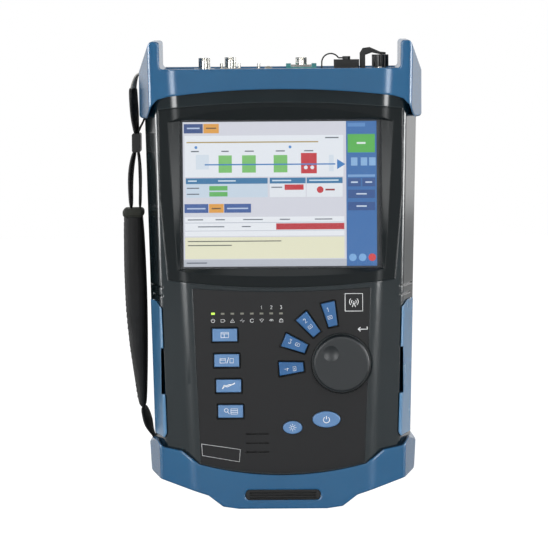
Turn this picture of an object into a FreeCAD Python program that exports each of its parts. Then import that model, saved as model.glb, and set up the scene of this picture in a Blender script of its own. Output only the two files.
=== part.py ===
import FreeCAD, Part
import math
import os

import Sketcher

# Handheld optical time domain reflectometer, standing on its foot: +Z up, the screen faces -Y,
# +X is on the viewer's right. The origin is the centre of the foot's rest face. Millimetres.

V = FreeCAD.Vector
doc = FreeCAD.newDocument("reflectometer")
sheet = doc.addObject("Spreadsheet::Sheet", "size")

SIZES = {
    "body_front": 40,  # front face ahead of the centre plane
    "body_back": 42,  # back face behind the centre plane
    "split_back": 4,  # parting plane of the two shells
    "body_floor": 5,  # underside of the shells
    "body_top": 297,  # top of the shells
    "ridge_low": 59.7,  # half-width of the flat front at the floor
    "ridge_high": 73,  # and at the top
    "edge_low": 80,  # half-width at the front outer edge, at the floor
    "edge_high": 86.5,  # and at the top
    "facet_slope": 0.4,  # how the facet between ridge and edge falls back
    "side_draft": 0.21,  # how the side wall spreads towards the parting plane
    "rear_draft": 0.1,  # how it closes again behind it
    "rear_edge_back": 33,  # where the rear bevel starts
    "ridge_round": 18,  # rounding of the front ridges
    "edge_round": 5,  # rounding of the outer edges
    "rear_round": 5,  # rounding of the rear bevel
    "shell_wall": 3.2,  # wall of the shells
    "rear_wall": 6,  # rear wall behind the modules
    "backing": 6.6,  # wall behind the door hinges
    "backing_deep": 9,  # how far that thicker wall reaches forward
    "backing_end": 7,  # and past the ends of the doors
    "heel_half": 43,  # half-width of the shells' flat floor
    "heel_rise": 7,  # step beside that floor
    "hip_half": 52,  # where the step ends
    "hip_high": 25,  # height of the shells' lowest outer corner
    "part_gap": 0.15,  # gap between fixed pieces that meet edge to edge
    "form_reach": 40,  # the shared form runs on this far past the shells' ends
    "form_wide": 120,  # half-width of the blocks that trim it

    "frame_thick": 2,  # skin of the screen frame
    "frame_top": 277.9,  # crown of the frame's top seam
    "frame_corner": 273.5,  # top seam at the corners
    "frame_bottom": 151.8,  # lowest point of the frame's bottom seam
    "frame_hip": 157.2,  # bottom seam at the corners
    "frame_half_top": 83.2,  # half-width of the frame at its top corners
    "frame_half_mid": 82.8,  # and where its sides begin to close
    "frame_mid": 218,  # height at which its sides begin to close
    "frame_half_low": 77.4,  # and at its bottom corners
    "brow_crown": 275.2,  # top edge of the screen recess
    "brow_corner": 262.9,  # its height where it would leave the front plane
    "brow_half": 90,  # and its half-width there
    "chin_crown": 159.2,  # bottom edge of the screen recess
    "chin_corner": 163.2,  # its height at the corners
    "chin_half": 72.6,  # and its half-width there
    "recess_deep": 3.4,  # depth of the recess at the window
    "rim_back": 34.4,  # back of the rim that holds the glass
    "window_half": 68.9,  # half-width of the window
    "window_low": 164.6,  # bottom of the window
    "window_high": 266.4,  # top of the window
    "glass_front": 36,  # front of the touch glass
    "glass_thick": 2.2,  # its thickness
    "glass_margin": 2.5,  # how far it reaches behind the frame
    "glass_play": 0.3,  # play around the glass
    "display_thick": 6,  # thickness of the display module
    "display_half": 73,  # its half-width
    "display_low": 161,  # its bottom
    "display_high": 270,  # its top
    "display_lip": 4,  # width of its metal rim
    "display_step": 0.4,  # how far the rim stands ahead of the panel

    "film_thick": 0.6,  # keypad film
    "film_half_top": 60.7,  # its half-width at the top
    "film_half_low": 56,  # and at the bottom corners
    "film_top": 151.3,  # its top edge at the corners
    "film_top_dip": 148.7,  # its top edge in the middle
    "film_low": 31.3,  # its bottom corners
    "film_low_dip": 24.2,  # its bottom edge in the middle
    "pad_front": 34.3,  # front of the keypad board
    "board_thick": 1.6,  # thickness of the circuit boards
    "pad_half": 60,  # half-width of the keypad board
    "pad_low": 46,  # its bottom edge
    "pad_step": 59,  # its bottom edge beside the speaker
    "pad_step_side": -4,  # where that edge steps up
    "pad_high": 142,  # its top edge
    "board_mid_post": -16,  # a post in the middle of the keypad board
    "key_proud": 1.5,  # keys stand out this far
    "key_gap": 0.35,  # gap around a key
    "key_flange": 0.9,  # thickness of a key's retaining flange
    "key_flange_out": 0.9,  # how far the flange spreads
    "key_flange_gap": 0.2,  # flange behind the shell wall
    "key_wide": 16.9,  # left keys
    "key_tall": 8.6,  # left keys
    "key_crown": 0.5,  # rounding of the keys' front edge
    "key_side": 39.1,  # top left key, left of the centre
    "key_high": 119.4,  # height of the top left key
    "key_pitch": 17.5,  # spacing of the left keys
    "key_shift": 1.2,  # each left key stands this much further in
    "dial_side": 40.7,  # centre of the dial
    "dial_high": 99.4,  # height of the dial
    "dial_radius": 19.1,  # dial
    "dial_proud": 7,  # front of the dial ahead of the body
    "dial_wall": 2.2,  # thickness of its face and rim
    "dial_gap": 1.8,  # ring gap around the dial
    "dial_well": 1.8,  # depth of the well under it
    "dial_lift": 1.4,  # rim of the dial ahead of the well's floor
    "dial_crown": 1.6,  # rounding of the dial's front edge
    "dimple_radius": 5.4,  # finger dimple
    "dimple_deep": 1.1,  # depth of the finger dimple
    "dimple_reach": 7.2,  # dimple from the dial's centre, across and up
    "dial_press": 0.8,  # push travel of the dial
    "shaft_radius": 3,  # encoder shaft
    "shaft_play": 0.05,  # running clearance of the shaft
    "shaft_hole": 0.6,  # clearance of the shaft in board and shell
    "hub_radius": 5.2,  # dial hub
    "encoder_side": 15,  # side of the square encoder body
    "encoder_thick": 7,  # encoder body thickness
    "carriage_radius": 5,  # sliding carriage in the encoder
    "carriage_thick": 3.4,  # its depth
    "fkey_first": 102.4,  # bearing of the first function key, degrees
    "fkey_step": 27.45,  # bearing from one to the next, degrees
    "fkey_near": 26.2,  # inner end from the dial's centre
    "fkey_far": 42.8,  # outer end from the dial's centre
    "fkey_wide_near": 6.1,  # width at the inner end
    "fkey_wide_far": 9.4,  # width at the outer end
    "power_side": 30.1,  # power button
    "power_high": 60.9,  # its height
    "power_wide": 18.9,  # its width
    "power_tall": 11,  # its height across
    "light_side": 6.9,  # backlight button
    "light_high": 55.5,  # its height
    "light_wide": 13.1,  # its width
    "light_tall": 8.8,  # its height across
    "lamp_side": 47.1,  # first status lamp, left of the centre
    "lamp_high": 134,  # height of the status lamps
    "lamp_pitch": 6.65,  # their spacing
    "lamp_wide": 2.4,  # a lamp's width
    "lamp_tall": 1.3,  # a lamp's height
    "lamp_count": 8,  # status lamps
    "slot_side": 25,  # speaker slots, left end from the centre
    "slot_wide": 7,  # length of a speaker slot
    "slot_tall": 1.3,  # its height
    "slot_gap": 1.4,  # web between the slots of a row
    "slot_high": 38.8,  # lowest row of slots
    "slot_pitch": 6.2,  # spacing of the rows
    "speaker_radius": 10.5,  # speaker
    "speaker_thick": 5,  # its depth
    "speaker_side": 16.6,  # its centre, left of the middle
    "speaker_high": 45,  # its height
    "seat_gap": 0.3,  # pieces that are clipped in stand this far from their seat

    "plate_front": 21,  # front of the chassis plate
    "plate_thick": 1.5,  # its thickness
    "plate_half": 80,  # its half-width at the top
    "plate_half_low": 74,  # and at the bottom
    "plate_low": 34,  # its bottom edge
    "plate_high": 290,  # its top edge
    "post_radius": 4,  # posts in the front shell
    "post_side_high": 76,  # upper posts from the centre
    "post_side_low": 66,  # lower posts from the centre
    "post_high": 282,  # height of the upper posts
    "post_low": 42,  # height of the lower posts
    "main_front": 24.9,  # front of the main board
    "main_half": 70,  # its half-width
    "main_low": 60,  # its bottom edge
    "main_high": 280,  # its top edge
    "chip_side": 24,  # side of the processor package
    "chip_thick": 1.9,  # its thickness

    "bay_left": -66,  # left side of the module bay
    "bay_right": 32,  # right side
    "bay_front": -14.4,  # front side
    "module_thick": 24,  # a test module
    "module_gap": 0.4,  # gap around a module
    "module_low": 70,  # bottom of the modules
    "module_skin": 1.2,  # sheet of a module's case
    "face_thick": 3,  # a module's face plate
    "cell_left": 36,  # battery pack
    "cell_right": 70,  # battery pack
    "cell_front": -3,  # battery pack
    "cell_back": 39.5,  # battery pack
    "cell_low": 48,  # battery pack
    "cell_high": 188,  # battery pack
    "cover_gap": 0.25,  # gap around the battery cover
    "cover_thick": 2.2,  # battery cover
    "cover_screw": 2.2,  # cover screws
    "cover_margin": 3.5,  # cover beyond the battery at each end

    "proud": 4,  # bumpers stand out from the shells by this much
    "horn_top": 320,  # top of the horns
    "horn_outer": 89.3,  # outer edge of a horn at its top
    "horn_thick": 6.9,  # width of a horn at its top
    "horn_root": 82.2,  # inner face of a horn at the wall
    "horn_hip": 299,  # where the horn's outer slope ends
    "flank_half": 97.6,  # bumper half-width at its flanks
    "wall_top": 301.3,  # top of the front and rear walls
    "arch_crown": 287.4,  # lower edge of the top bumper, middle
    "arch_side": 282.6,  # its height towards the corners
    "arch_half": 77,  # half-width of that arch
    "tail_bend": 280.5,  # where the edge turns down into the tail
    "tail_knee": 276.2,  # where it turns steeper still
    "tail_knee_half": 88,  # half-width there
    "tail_bend_half": 84,  # half-width there
    "tail_side": 91.4,  # inner edge of the tail
    "tail_low": 267.3,  # bottom of the tail
    "well_half": 80,  # half-width of the connector well
    "well_front": 33,  # front side of the well
    "well_back": 36,  # its back side
    "bumper_round": 2.2,  # rounding of the bumpers' edges
    "groove_high": 151.6,  # upper groove at the sides of the front shell
    "groove_pitch": 6.1,  # spacing of the two grooves
    "groove_wide": 1.1,  # width of a groove
    "groove_deep": 0.8,  # its depth
    "groove_start": 81,  # half-width where it begins
    "strap_slot_low": 293.5,  # strap slot in the left horn's flank
    "strap_slot_tall": 7,  # its height
    "strap_back": 18,  # strap's middle behind the centre plane
    "strap_wide": 20,  # width of the webbing
    "strap_thick": 1.2,  # thickness of the webbing
    "strap_play": 0.4,  # play of the webbing in its slots
    "channel_in": 93,  # inner side of the webbing's channel at the tail
    "channel_out": 95.2,  # its outer side

    "ear_half": 92.4,  # outer edge of the bottom bumper
    "ear_top": 46.4,  # peak of its ears
    "ear_slope": 5.4,  # the peak lies inside the outer edge by this
    "ear_fall": 42.6,  # outer end of the ear
    "ear_thick": 5,  # width of the ear inside its peak
    "saddle_high": 42,  # height of the edge inside the ear
    "slope_half": 69,  # where the edge turns down
    "slope_high": 39.8,  # its height
    "dip_half": 57,  # where the edge flattens
    "dip_high": 30.6,  # its height
    "crown_low": 22.9,  # its height in the middle
    "toe_high": 22.6,  # height of the outer lower corner
    "toe_in": 1.2,  # it lies inside the outer edge by this
    "sole_half": 51,  # foot of the slope
    "sole_high": 9.3,  # its height
    "foot_half": 41,  # half-width of the foot's flat
    "foot_rise": 1.6,  # the foot's ends stand this high
    "rest_half": 30,  # half-width of the rest face
    "rail_half": 25.9,  # slot in the bottom bumper's front
    "rail_low": 5.9,  # its lower edge
    "rail_high": 13.1,  # its upper edge
    "rail_corner": 3.2,  # its rounded ends
    "rail_play": 0.2,  # gap around the ribbed insert
    "rail_proud": 3.2,  # thickness of the ribbed insert
    "rail_glue": 0.05,  # glue line under the rail
    "rail_ribs": 3,  # ribs on the insert
    "rail_rib": 0.8,  # a rib's height across

    "panel_thick": 2.2,  # top panel
    "panel_play": 0.3,  # play around the top panel
    "port_1_side": -52.3,  # fibre ports, from the centre
    "port_2_side": -34.7,  # fibre ports, from the centre
    "port_3_side": 14.6,  # fibre ports, from the centre
    "port_radius": 4,  # fibre port sleeves
    "port_bore": 3.1,  # their bore
    "port_top": 308.2,  # their top
    "port_key": 2.2,  # width of the key notch
    "port_key_deep": 2,  # its depth
    "ferrule_radius": 1.9,  # alignment sleeve in a port
    "ferrule_bore": 1.25,  # its bore
    "ferrule_short": 0.8,  # it ends this far below the sleeve's top
    "port_base_wide": 14,  # base plate of a fibre port
    "port_base_tall": 9.6,  # its other side
    "port_base_thick": 1.6,  # its thickness
    "flange_wide": 21,  # blue flange of the third port
    "flange_tall": 13,  # its other side
    "flange_thick": 4.9,  # its thickness
    "flange_dip": 2.4,  # dip in its middle
    "screw_radius": 1,  # small screw heads
    "screw_top": 303.9,  # their top
    "screw_reach": 6.2,  # screws of the second port from its centre
    "catch_side": -14.8,  # module screws from the centre
    "dome_side": -8.2,  # round window beside the front module screw
    "dome_radius": 2.7,  # its radius
    "dome_high": 3.2,  # its height
    "meter_side": 69.1,  # power meter port
    "port_deep": -2.4,  # middle of the front ports behind the centre plane
    "port_deep_rear": 22,  # middle of the rear module's port
    "meter_port_rad": 4.2,  # power meter port's sleeve
    "meter_port_top": 308.2,  # its top
    "source_port_top": 304.8,  # top of the light source port
    "meter_cap_rad": 5.8,  # its dust cap
    "meter_cap_top": 309.8,  # top of that cap
    "meter_cap_low": 301.4,  # its lower edge
    "cap_wall": 1.3,  # wall of the dust caps
    "cap_play": 0.3,  # cap around its port
    "knurls": 12,  # grip grooves around the round cap
    "knurl_radius": 0.8,  # a groove
    "source_side": 45.8,  # light source port
    "source_cap_wide": 17.4,  # its width
    "source_cap_tall": 13,  # its other side
    "source_cap_top": 306.6,  # top of that cap
    "source_knob": 2.7,  # knob on the cap
    "source_knob_up": 2.2,  # its height
    "strip_side": 56.9,  # its middle from the centre
    "strip_wide": 3.8,  # its width
    "strip_thick": 1.4,  # its thickness
    "strip_deep": 6,  # its depth front to back
    "strip_bend": 309.6,  # top of the post's straight run
    "strip_top": 315,  # top of its bend
    "lead_side": 28.8,  # foot of the thin tether
    "lead_radius": 0.5,  # the thin tether
    "lead_rise": 5.3,  # its straight rise from the panel
    "lead_bend": 6.2,  # radius of its bend

    "door_low": 48.5,  # side doors
    "door_high": 141.4,  # their top
    "door_front_low": 79.6,  # front edge of a door at its bottom, from the centre
    "door_front_high": 82.4,  # and at its top
    "door_back": 0.8,  # rear edge of the doors
    "door_thick": 2.4,  # their thickness
    "door_proud": 0.8,  # they stand out this far
    "door_gap": 0.35,  # gap around a door
    "door_swing": 2.5,  # room behind a door's rear edge, for its skin as it opens
    "door_corner": 4,  # cut corner at the top
    "door_round": 3,  # rounding of the bottom corner
    "notch_low": 78,  # finger notch
    "notch_high": 110,  # its top
    "notch_deep": 2.2,  # its depth
    "pin_radius": 1,  # hinge pins
    "pin_play": 0.06,  # running clearance on the pins
    "knuckle_radius": 1.9,  # knuckles
    "knuckle_long": 9,  # length of a knuckle
    "knuckle_in": 1.6,  # hinge axis inside the shell's side
    "knuckle_gap": 0.85,  # clearance around a knuckle
    "pin_grip": 4,  # a pin's length in the shell at each end
    "jack_face": 82.5,  # faces of the sockets from the centre
    "jack_deep": 13,  # depth of the sockets
    "jack_back": -12,  # their middle behind the centre plane
    "jack_skin": 1,  # sheet of a socket's shell
    "usb_long": 14.4,  # a serial-bus socket, along the height
    "usb_wide": 7.2,  # its other side
    "usb_low": 56,  # lower serial-bus socket
    "usb_pitch": 18,  # spacing of those sockets
    "usb_tongue": 2,  # tongue in its mouth
    "lan_long": 15,  # network socket, along the height
    "lan_wide": 13,  # its other side
    "lan_low": 96,  # its lower edge
    "dc_low": 62,  # power jack, lower edge
    "jack_square": 11,  # side of the power jack
    "jack_bore": 3.2,  # mouth of the power jack
    "jack_pin": 1,  # its centre pin

    "stand_half": 32,  # kickstand
    "stand_hinge": 196,  # height of its hinge axis
    "stand_low": 78,  # its lower edge
    "stand_thick": 3.2,  # its thickness
    "stand_gap": 0.5,  # gap around it
    "stand_sunk": 0.2,  # it lies this far below the back face
    "stand_side": -17,  # its middle from the centre
    "stand_barrel": 1.9,  # its hinge barrel
    "stand_pin_rad": 1,  # its pin
    "stand_pin_grip": 6,  # the pin's length in the shell at each end
    "stand_notch": 9,  # finger notch at its foot, half-width
    "stand_ribs": 3,  # grooves across it
    "bolt_head": 3.2,  # case screw heads
    "bolt_head_thick": 2,  # thickness of a head
    "bolt_sunk": 0.5,  # a head lies this far below the back face
    "bolt_shank": 1.5,  # case screw shanks
    "bolt_boss": 3.6,  # bosses around them
    "bolt_long": 30,  # length of a shank
    "bolt_side_high": 72,  # upper case screws from the centre
    "bolt_high": 262,  # their height
    "bolt_side_left": -60,  # lower left case screw
    "bolt_side_right": 24,  # lower right case screw
    "bolt_low": 58,  # their height
    "socket_key": 1.3,  # drive recess in a screw head
    "socket_deep": 1.2,  # its depth

    "sleeve_top": 204,  # padded grip of the hand strap
    "sleeve_low": 63,  # its lower end
    "sleeve_in": 95.2,  # its inner face from the centre
    "sleeve_out": 110.6,  # its outer face at the top
    "sleeve_shoulder": 163,  # height at which it begins to taper
    "sleeve_belly": 107.2,  # outer face lower down
    "sleeve_belly_up": 104,  # at this height
    "sleeve_ankle": 103.6,  # outer face near its end
    "sleeve_ankle_up": 76,  # at this height
    "sleeve_end_out": 99.5,  # outer face at its end
    "sleeve_wide": 27,  # its width front to back
    "buckle_low": 243,  # buckle
    "buckle_high": 256,  # its top
    "buckle_in": 97.2,  # its inner face
    "buckle_out": 103.2,  # its outer face
    "buckle_wide": 26,  # its width
    "loop_out": 100.2,  # outer run of the webbing loop
    "loop_in": 93.5,  # its inner run
    "loop_top": 299,  # its top
    "loop_bend": 292.5,  # where its outer run turns in
    "strand_mid": 223,  # height where the two strands are widest apart
    "strand_out": 105.3,  # outer strand's outer side
    "strand_thick": 2.2,  # thickness of a strand
    "strand_in": 97,  # inner strand's inner side
    "tail_web_low": 30,  # end of the lower webbing
    "tail_web_in": 88.4,  # its inner side there
    "tail_web_bend": 47,  # where it turns outwards
    "tail_web_out": 98.2,  # its outer side at the sleeve
    "foot_channel_in": 87.1,  # channel for it in the bottom bumper
    "foot_channel": 2.9,  # width of that channel
}

for row, (alias, number) in enumerate(SIZES.items()):
    sheet.set(f"A{row + 1}", alias.replace("_", " "))
    sheet.set(f"B{row + 1}", str(number))
    sheet.setAlias(f"B{row + 1}", alias)
doc.recompute()


def value(alias):
    """A driving dimension as the sheet holds it."""
    return float(sheet.get(alias))


PLANES = {
    "top": (FreeCAD.Rotation(), V(0, 0, 1), "z"),
    "front": (FreeCAD.Rotation(V(1, 0, 0), 90), V(0, 1, 0), "y"),
    "side": (FreeCAD.Rotation(V(1, 1, 1), 120), V(1, 0, 0), "x"),
}
TURNS = {
    "x": FreeCAD.Rotation(V(0, 1, 0), 90),
    "y": FreeCAD.Rotation(V(1, 0, 0), -90),
    "z": FreeCAD.Rotation(),
}


def sized(text):
    """An expression of the sheet, from text that marks each size with a tilde."""
    return str(text).replace("~", "size.")


def outline(drawing, corners, bulges=None):
    """A closed outline in a sketch. Each corner is a pair of expressions, and so is each bulge,
    the middle point of the arc that then replaces the straight run after that corner."""
    marks = list(corners) + list((bulges or {}).values())
    for number, (across, up) in enumerate(marks):
        rough = V(number + 1, number * number + 1, 0)
        drawing.addGeometry(Part.Point(rough), True)
        for kind, text, guess in (("DistanceX", across, rough.x), ("DistanceY", up, rough.y)):
            at = drawing.addConstraint(Sketcher.Constraint(kind, -1, 1, number, 1, guess))
            drawing.setExpression(f"Constraints[{at}]", sized(text))
    doc.recompute()
    places = [V(mark.X, mark.Y, 0) for mark in drawing.Geometry]
    middles = dict(zip(bulges or {}, range(len(corners), len(marks))))
    for number in range(len(corners)):
        after = (number + 1) % len(corners)
        if number in middles:
            through = places[middles[number]]
            edge = drawing.addGeometry(Part.Arc(places[number], through, places[after]))
            turn = (through - places[number]).cross(places[after] - through)
            ends = (1, 2) if turn.z > 0 else (2, 1)
            drawing.addConstraint(
                Sketcher.Constraint("PointOnObject", middles[number], 1, edge)
            )
        else:
            edge = drawing.addGeometry(Part.LineSegment(places[number], places[after]))
            ends = (1, 2)
        drawing.addConstraint(Sketcher.Constraint("Coincident", edge, ends[0], number, 1))
        drawing.addConstraint(Sketcher.Constraint("Coincident", edge, ends[1], after, 1))
    doc.recompute()


def drawing_on(name, plane, place):
    """An empty sketch on a plane of the model, at a given distance along its normal."""
    drawing = doc.addObject("Sketcher::SketchObject", name)
    drawing.Placement = FreeCAD.Placement(V(), PLANES[plane][0])
    drawing.setExpression("Placement.Base." + PLANES[plane][2], sized(place))
    return drawing


def extruded(name, drawing, plane, length):
    item = doc.addObject("Part::Extrusion", name)
    item.Base = drawing
    item.DirMode = "Custom"
    item.Dir = PLANES[plane][1]
    item.Solid = True
    item.setExpression("LengthFwd", sized(length))
    return item


def slab(name, plane, corners, low, high, bulges=None):
    """An outline seen from the top, front or side, extruded from low to high."""
    drawing = drawing_on(name + "_outline", plane, low)
    outline(drawing, corners, bulges)
    return extruded(name, drawing, plane, f"({high}) - ({low})")


def widened(name, source, grow, plane, length):
    """The outline of another slab, made wider by a gap, extruded again."""
    wider = doc.addObject("Part::Offset2D", name + "_outline")
    wider.Source = source
    wider.Join = 2
    wider.setExpression("Value", sized(grow))
    return extruded(name, wider, plane, length)


def box(name, low, sides):
    item = doc.addObject("Part::Box", name)
    for letter, text in zip("xyz", low):
        item.setExpression("Placement.Base." + letter, sized(text))
    for side, text in zip(("Length", "Width", "Height"), sides):
        item.setExpression(side, sized(text))
    return item


def rod(name, axis, start, radius, length):
    """A cylinder that runs along an axis from its start."""
    item = doc.addObject("Part::Cylinder", name)
    item.Placement = FreeCAD.Placement(V(), TURNS[axis])
    for letter, text in zip("xyz", start):
        item.setExpression("Placement.Base." + letter, sized(text))
    item.setExpression("Radius", sized(radius))
    item.setExpression("Height", sized(length))
    return item


def fused(name, *items):
    item = doc.addObject("Part::MultiFuse", name)
    item.Shapes = list(items)
    return item


def cut(name, base, *tools):
    item = doc.addObject("Part::Cut", name)
    item.Base = base
    item.Tool = tools[0] if len(tools) == 1 else fused(name + "_tools", *tools)
    return item


def common(name, *items):
    item = doc.addObject("Part::MultiCommon", name)
    item.Shapes = list(items)
    return item


def grouped(name, *items):
    """Separate solids that share one node."""
    item = doc.addObject("Part::Compound", name)
    item.Links = list(items)
    return item


def rounded(name, item, radius, chosen):
    """A fillet on the edges that the chosen test picks."""
    doc.recompute()
    size = value(radius)
    edges = [(n + 1, size, size) for n, edge in enumerate(item.Shape.Edges) if chosen(edge)]
    fillet = doc.addObject("Part::Fillet", name)
    fillet.Base = item
    fillet.Edges = edges
    return fillet


def runs(edge, axis):
    """Whether an edge is straight along an axis."""
    way = edge.Vertexes[-1].Point - edge.Vertexes[0].Point
    return way.Length > 0.01 and abs(getattr(way, axis)) > 0.999 * way.Length


def lies(edge, **places):
    """Whether both ends of an edge have the given coordinates."""
    return all(
        abs(getattr(corner.Point, letter) - place) < 0.01
        for corner in edge.Vertexes
        for letter, place in places.items()
    )


nodes = {}


def node(name, item):
    """Hand in a finished piece under the name of its node."""
    item.Label = name
    nodes[name] = item
    return item


def mirrored(corners):
    """A symmetric outline from its right half, given from bottom to top."""
    left = [(f"-({across})", up) for across, up in reversed(corners)]
    return list(corners) + left


# ---- The form that the shells and bumpers share: a tapering, faceted column, in plan:
# flat front, facets falling back from two ridges, sides that spread to the parting plane.

def plan(name, place, ridge, edge):
    facet_end = f"-~body_front + ~facet_slope * ({edge} - {ridge})"
    side = f"({edge} + ~side_draft * (~split_back - ({facet_end})))"
    rear = f"({side} - ~rear_draft * (~rear_edge_back - ~split_back))"
    rear_in = f"({rear} - (~body_back - ~rear_edge_back))"
    half = [
        (ridge, "-~body_front"),
        (edge, facet_end),
        (side, "~split_back"),
        (rear, "~rear_edge_back"),
        (rear_in, "~body_back"),
    ]
    drawing = drawing_on(name, "top", place)
    outline(drawing, mirrored(half))
    return drawing


per_height = "/ (~body_top - ~body_floor)"
ridge_lean = f"(~ridge_high - ~ridge_low) {per_height}"
edge_lean = f"(~edge_high - ~edge_low) {per_height}"
plan_low = plan(
    "plan_low", "~body_floor - ~form_reach",
    f"(~ridge_low - ~form_reach * {ridge_lean})", f"(~edge_low - ~form_reach * {edge_lean})",
)
plan_high = plan(
    "plan_high", "~body_top + ~form_reach",
    f"(~ridge_high + ~form_reach * {ridge_lean})", f"(~edge_high + ~form_reach * {edge_lean})",
)


def column(name, grow):
    """The shared form, grown by a distance (or shrunk, if it is negative)."""
    sections = []
    for source in (plan_low, plan_high):
        wider = doc.addObject("Part::Offset2D", f"{name}_{source.Name}")
        wider.Source = source
        wider.Join = 2
        wider.setExpression("Value", sized(grow))
        sections.append(wider)
    item = doc.addObject("Part::Loft", name)
    item.Sections = sections
    item.Solid = True
    item.Ruled = True
    return item


def softened(name, item):
    """The form with its ridges, outer edges and rear bevels rounded."""
    doc.recompute()
    edges = []
    for number, edge in enumerate(item.Shape.Edges):
        middle = edge.CenterOfMass
        tall = edge.BoundBox.ZLength > value("body_top") / 3
        if not tall or abs(middle.y - value("split_back")) < 1:
            continue
        if middle.y > 0:
            size = value("rear_round")
        elif abs(middle.x) < (value("ridge_high") + value("edge_low")) / 2:
            size = value("ridge_round")
        else:
            size = value("edge_round")
        edges.append((number + 1, size, size))
    fillet = doc.addObject("Part::Fillet", name)
    fillet.Base = item
    fillet.Edges = edges
    return fillet


outer_form = softened("outer_form", column("outer_column", "0.0001"))
proud_form = softened("proud_form", column("proud_column", "~proud"))



# ---- Shells: the form, cut to the body's outline as seen from the front.

body_outline = [
    ("~heel_half", "~body_floor"),
    ("~hip_half", "~body_floor + ~heel_rise"),
    ("~form_wide", "~hip_high + (~form_wide - ~edge_low) * 0.4"),
    ("~form_wide", "~body_top"),
]
trim = slab("body_trim", "front", mirrored(body_outline), "-~form_wide", "~form_wide")
body_solid = common("body_solid", outer_form, trim)
hollow_trim = widened(
    "hollow_trim", trim.Base, "-~shell_wall", "front",
    "~form_wide + ~body_back - ~rear_wall",
)
hollow = common("hollow", column("inner_column", "-~shell_wall"), hollow_trim)

front_half = box(
    "front_half", ("-~form_wide", "-~form_wide", "-~form_reach"),
    ("2 * ~form_wide", "~form_wide + ~split_back", "~body_top + 2 * ~form_reach"),
)
rear_half = box(
    "rear_half", ("-~form_wide", "~split_back", "-~form_reach"),
    ("2 * ~form_wide", "~form_wide", "~body_top + 2 * ~form_reach"),
)

# ---- Screen frame: a skin set flush into the front, with a recess down to the window.

frame_corners = [
    ("~frame_half_low", "~frame_hip"),
    ("~frame_half_mid", "~frame_mid"),
    ("~frame_half_top", "~frame_corner"),
]
frame_bulges = {2: ("0", "~frame_top"), 5: ("0", "~frame_bottom")}
frame_front = slab(
    "frame_front", "front", mirrored(frame_corners), "-~form_wide", "~split_back", frame_bulges
)
inner_skin = column("frame_inner_skin", "-~frame_thick")
recess_low = drawing_on("recess_window", "front", "-~body_front + ~recess_deep")
window = mirrored([("~window_half", "~window_low"), ("~window_half", "~window_high")])
outline(recess_low, window)
recess_high = drawing_on("recess_mouth", "front", "-~body_front")
mouth = mirrored([("~chin_half", "~chin_corner"), ("~brow_half", "~brow_corner")])
outline(recess_high, mouth, {1: ("0", "~brow_crown"), 3: ("0", "~chin_crown")})
recess = doc.addObject("Part::Loft", "recess")
recess.Sections = [recess_low, recess_high]
recess.Solid = True
recess.Ruled = True
glass_low = "~window_low - ~glass_margin"
glass_tall = "~window_high - ~window_low + 2 * ~glass_margin"
rim = box(
    "frame_rim",
    ("-~window_half - ~glass_margin - ~frame_thick", "-~body_front + ~frame_thick / 2",
     f"{glass_low} - ~frame_thick"),
    ("2 * (~window_half + ~glass_margin + ~frame_thick)",
     "~body_front - ~rim_back - ~frame_thick / 2", f"{glass_tall} + 2 * ~frame_thick"),
)
rim_in_form = common("rim_in_form", rim, outer_form)
frame_skin = cut("frame_skin", common("frame_face", outer_form, frame_front), inner_skin)
glass_seat = box(
    "glass_seat",
    ("-~window_half - ~glass_margin - ~glass_play", "-~glass_front - ~part_gap / 3",
     f"{glass_low} - ~glass_play"),
    ("2 * (~window_half + ~glass_margin + ~glass_play)", "~glass_front + ~split_back",
     f"{glass_tall} + 2 * ~glass_play"),
)
window_hole = slab("window_hole", "front", window, "-~form_wide", "~split_back")
node("screen_frame", cut(
    "frame_cut", fused("frame_block", frame_skin, rim_in_form), recess, window_hole, glass_seat
))
node("touch_glass", box(
    "glass", ("-~window_half - ~glass_margin", "-~glass_front", glass_low),
    ("2 * (~window_half + ~glass_margin)", "~glass_thick", glass_tall),
))

# ---- Display module: a metal can with its panel behind the glass.

display_front = "-~glass_front + ~glass_thick + ~seat_gap"
display_can = box(
    "display_can", ("-~display_half", display_front, "~display_low"),
    ("2 * ~display_half", "~display_thick", "~display_high - ~display_low"),
)
display_view = box(
    "display_view", ("-~display_half + ~display_lip", display_front, "~display_low + ~display_lip"),
    ("2 * (~display_half - ~display_lip)", "~display_step",
     "~display_high - ~display_low - 2 * ~display_lip"),
)
node("display_module", cut("display", display_can, display_view))

# ---- Front shell: pocket for the frame, openings for glass, keys, dial, lamps and doors.

frame_pocket = cut(
    "frame_pocket",
    widened("frame_pocket_front", frame_front.Base, "~part_gap", "front", "~form_wide"),
    column("pocket_floor", "-~frame_thick - ~part_gap"),
)
rim_pocket = box(
    "rim_pocket",
    ("-~window_half - ~glass_margin - ~frame_thick - ~part_gap", "-~form_wide",
     f"{glass_low} - ~frame_thick - ~part_gap"),
    ("2 * (~window_half + ~glass_margin + ~frame_thick + ~part_gap)",
     "~form_wide - ~rim_back + 4 * ~part_gap", f"{glass_tall} + 2 * (~frame_thick + ~part_gap)"),
)
film_corners = mirrored([("~film_half_low", "~film_low"), ("~film_half_top", "~film_top")])
film_bulges = {1: ("0", "~film_top_dip"), 3: ("0", "~film_low_dip")}
film_front = slab(
    "film_front", "front", film_corners, "-~body_front", "-~body_front + ~film_thick", film_bulges
)
film_pocket = widened("film_pocket", film_front.Base, "~part_gap", "front", "~film_thick")

key_seat = "-~body_front + ~shell_wall + ~key_flange_gap"


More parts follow.
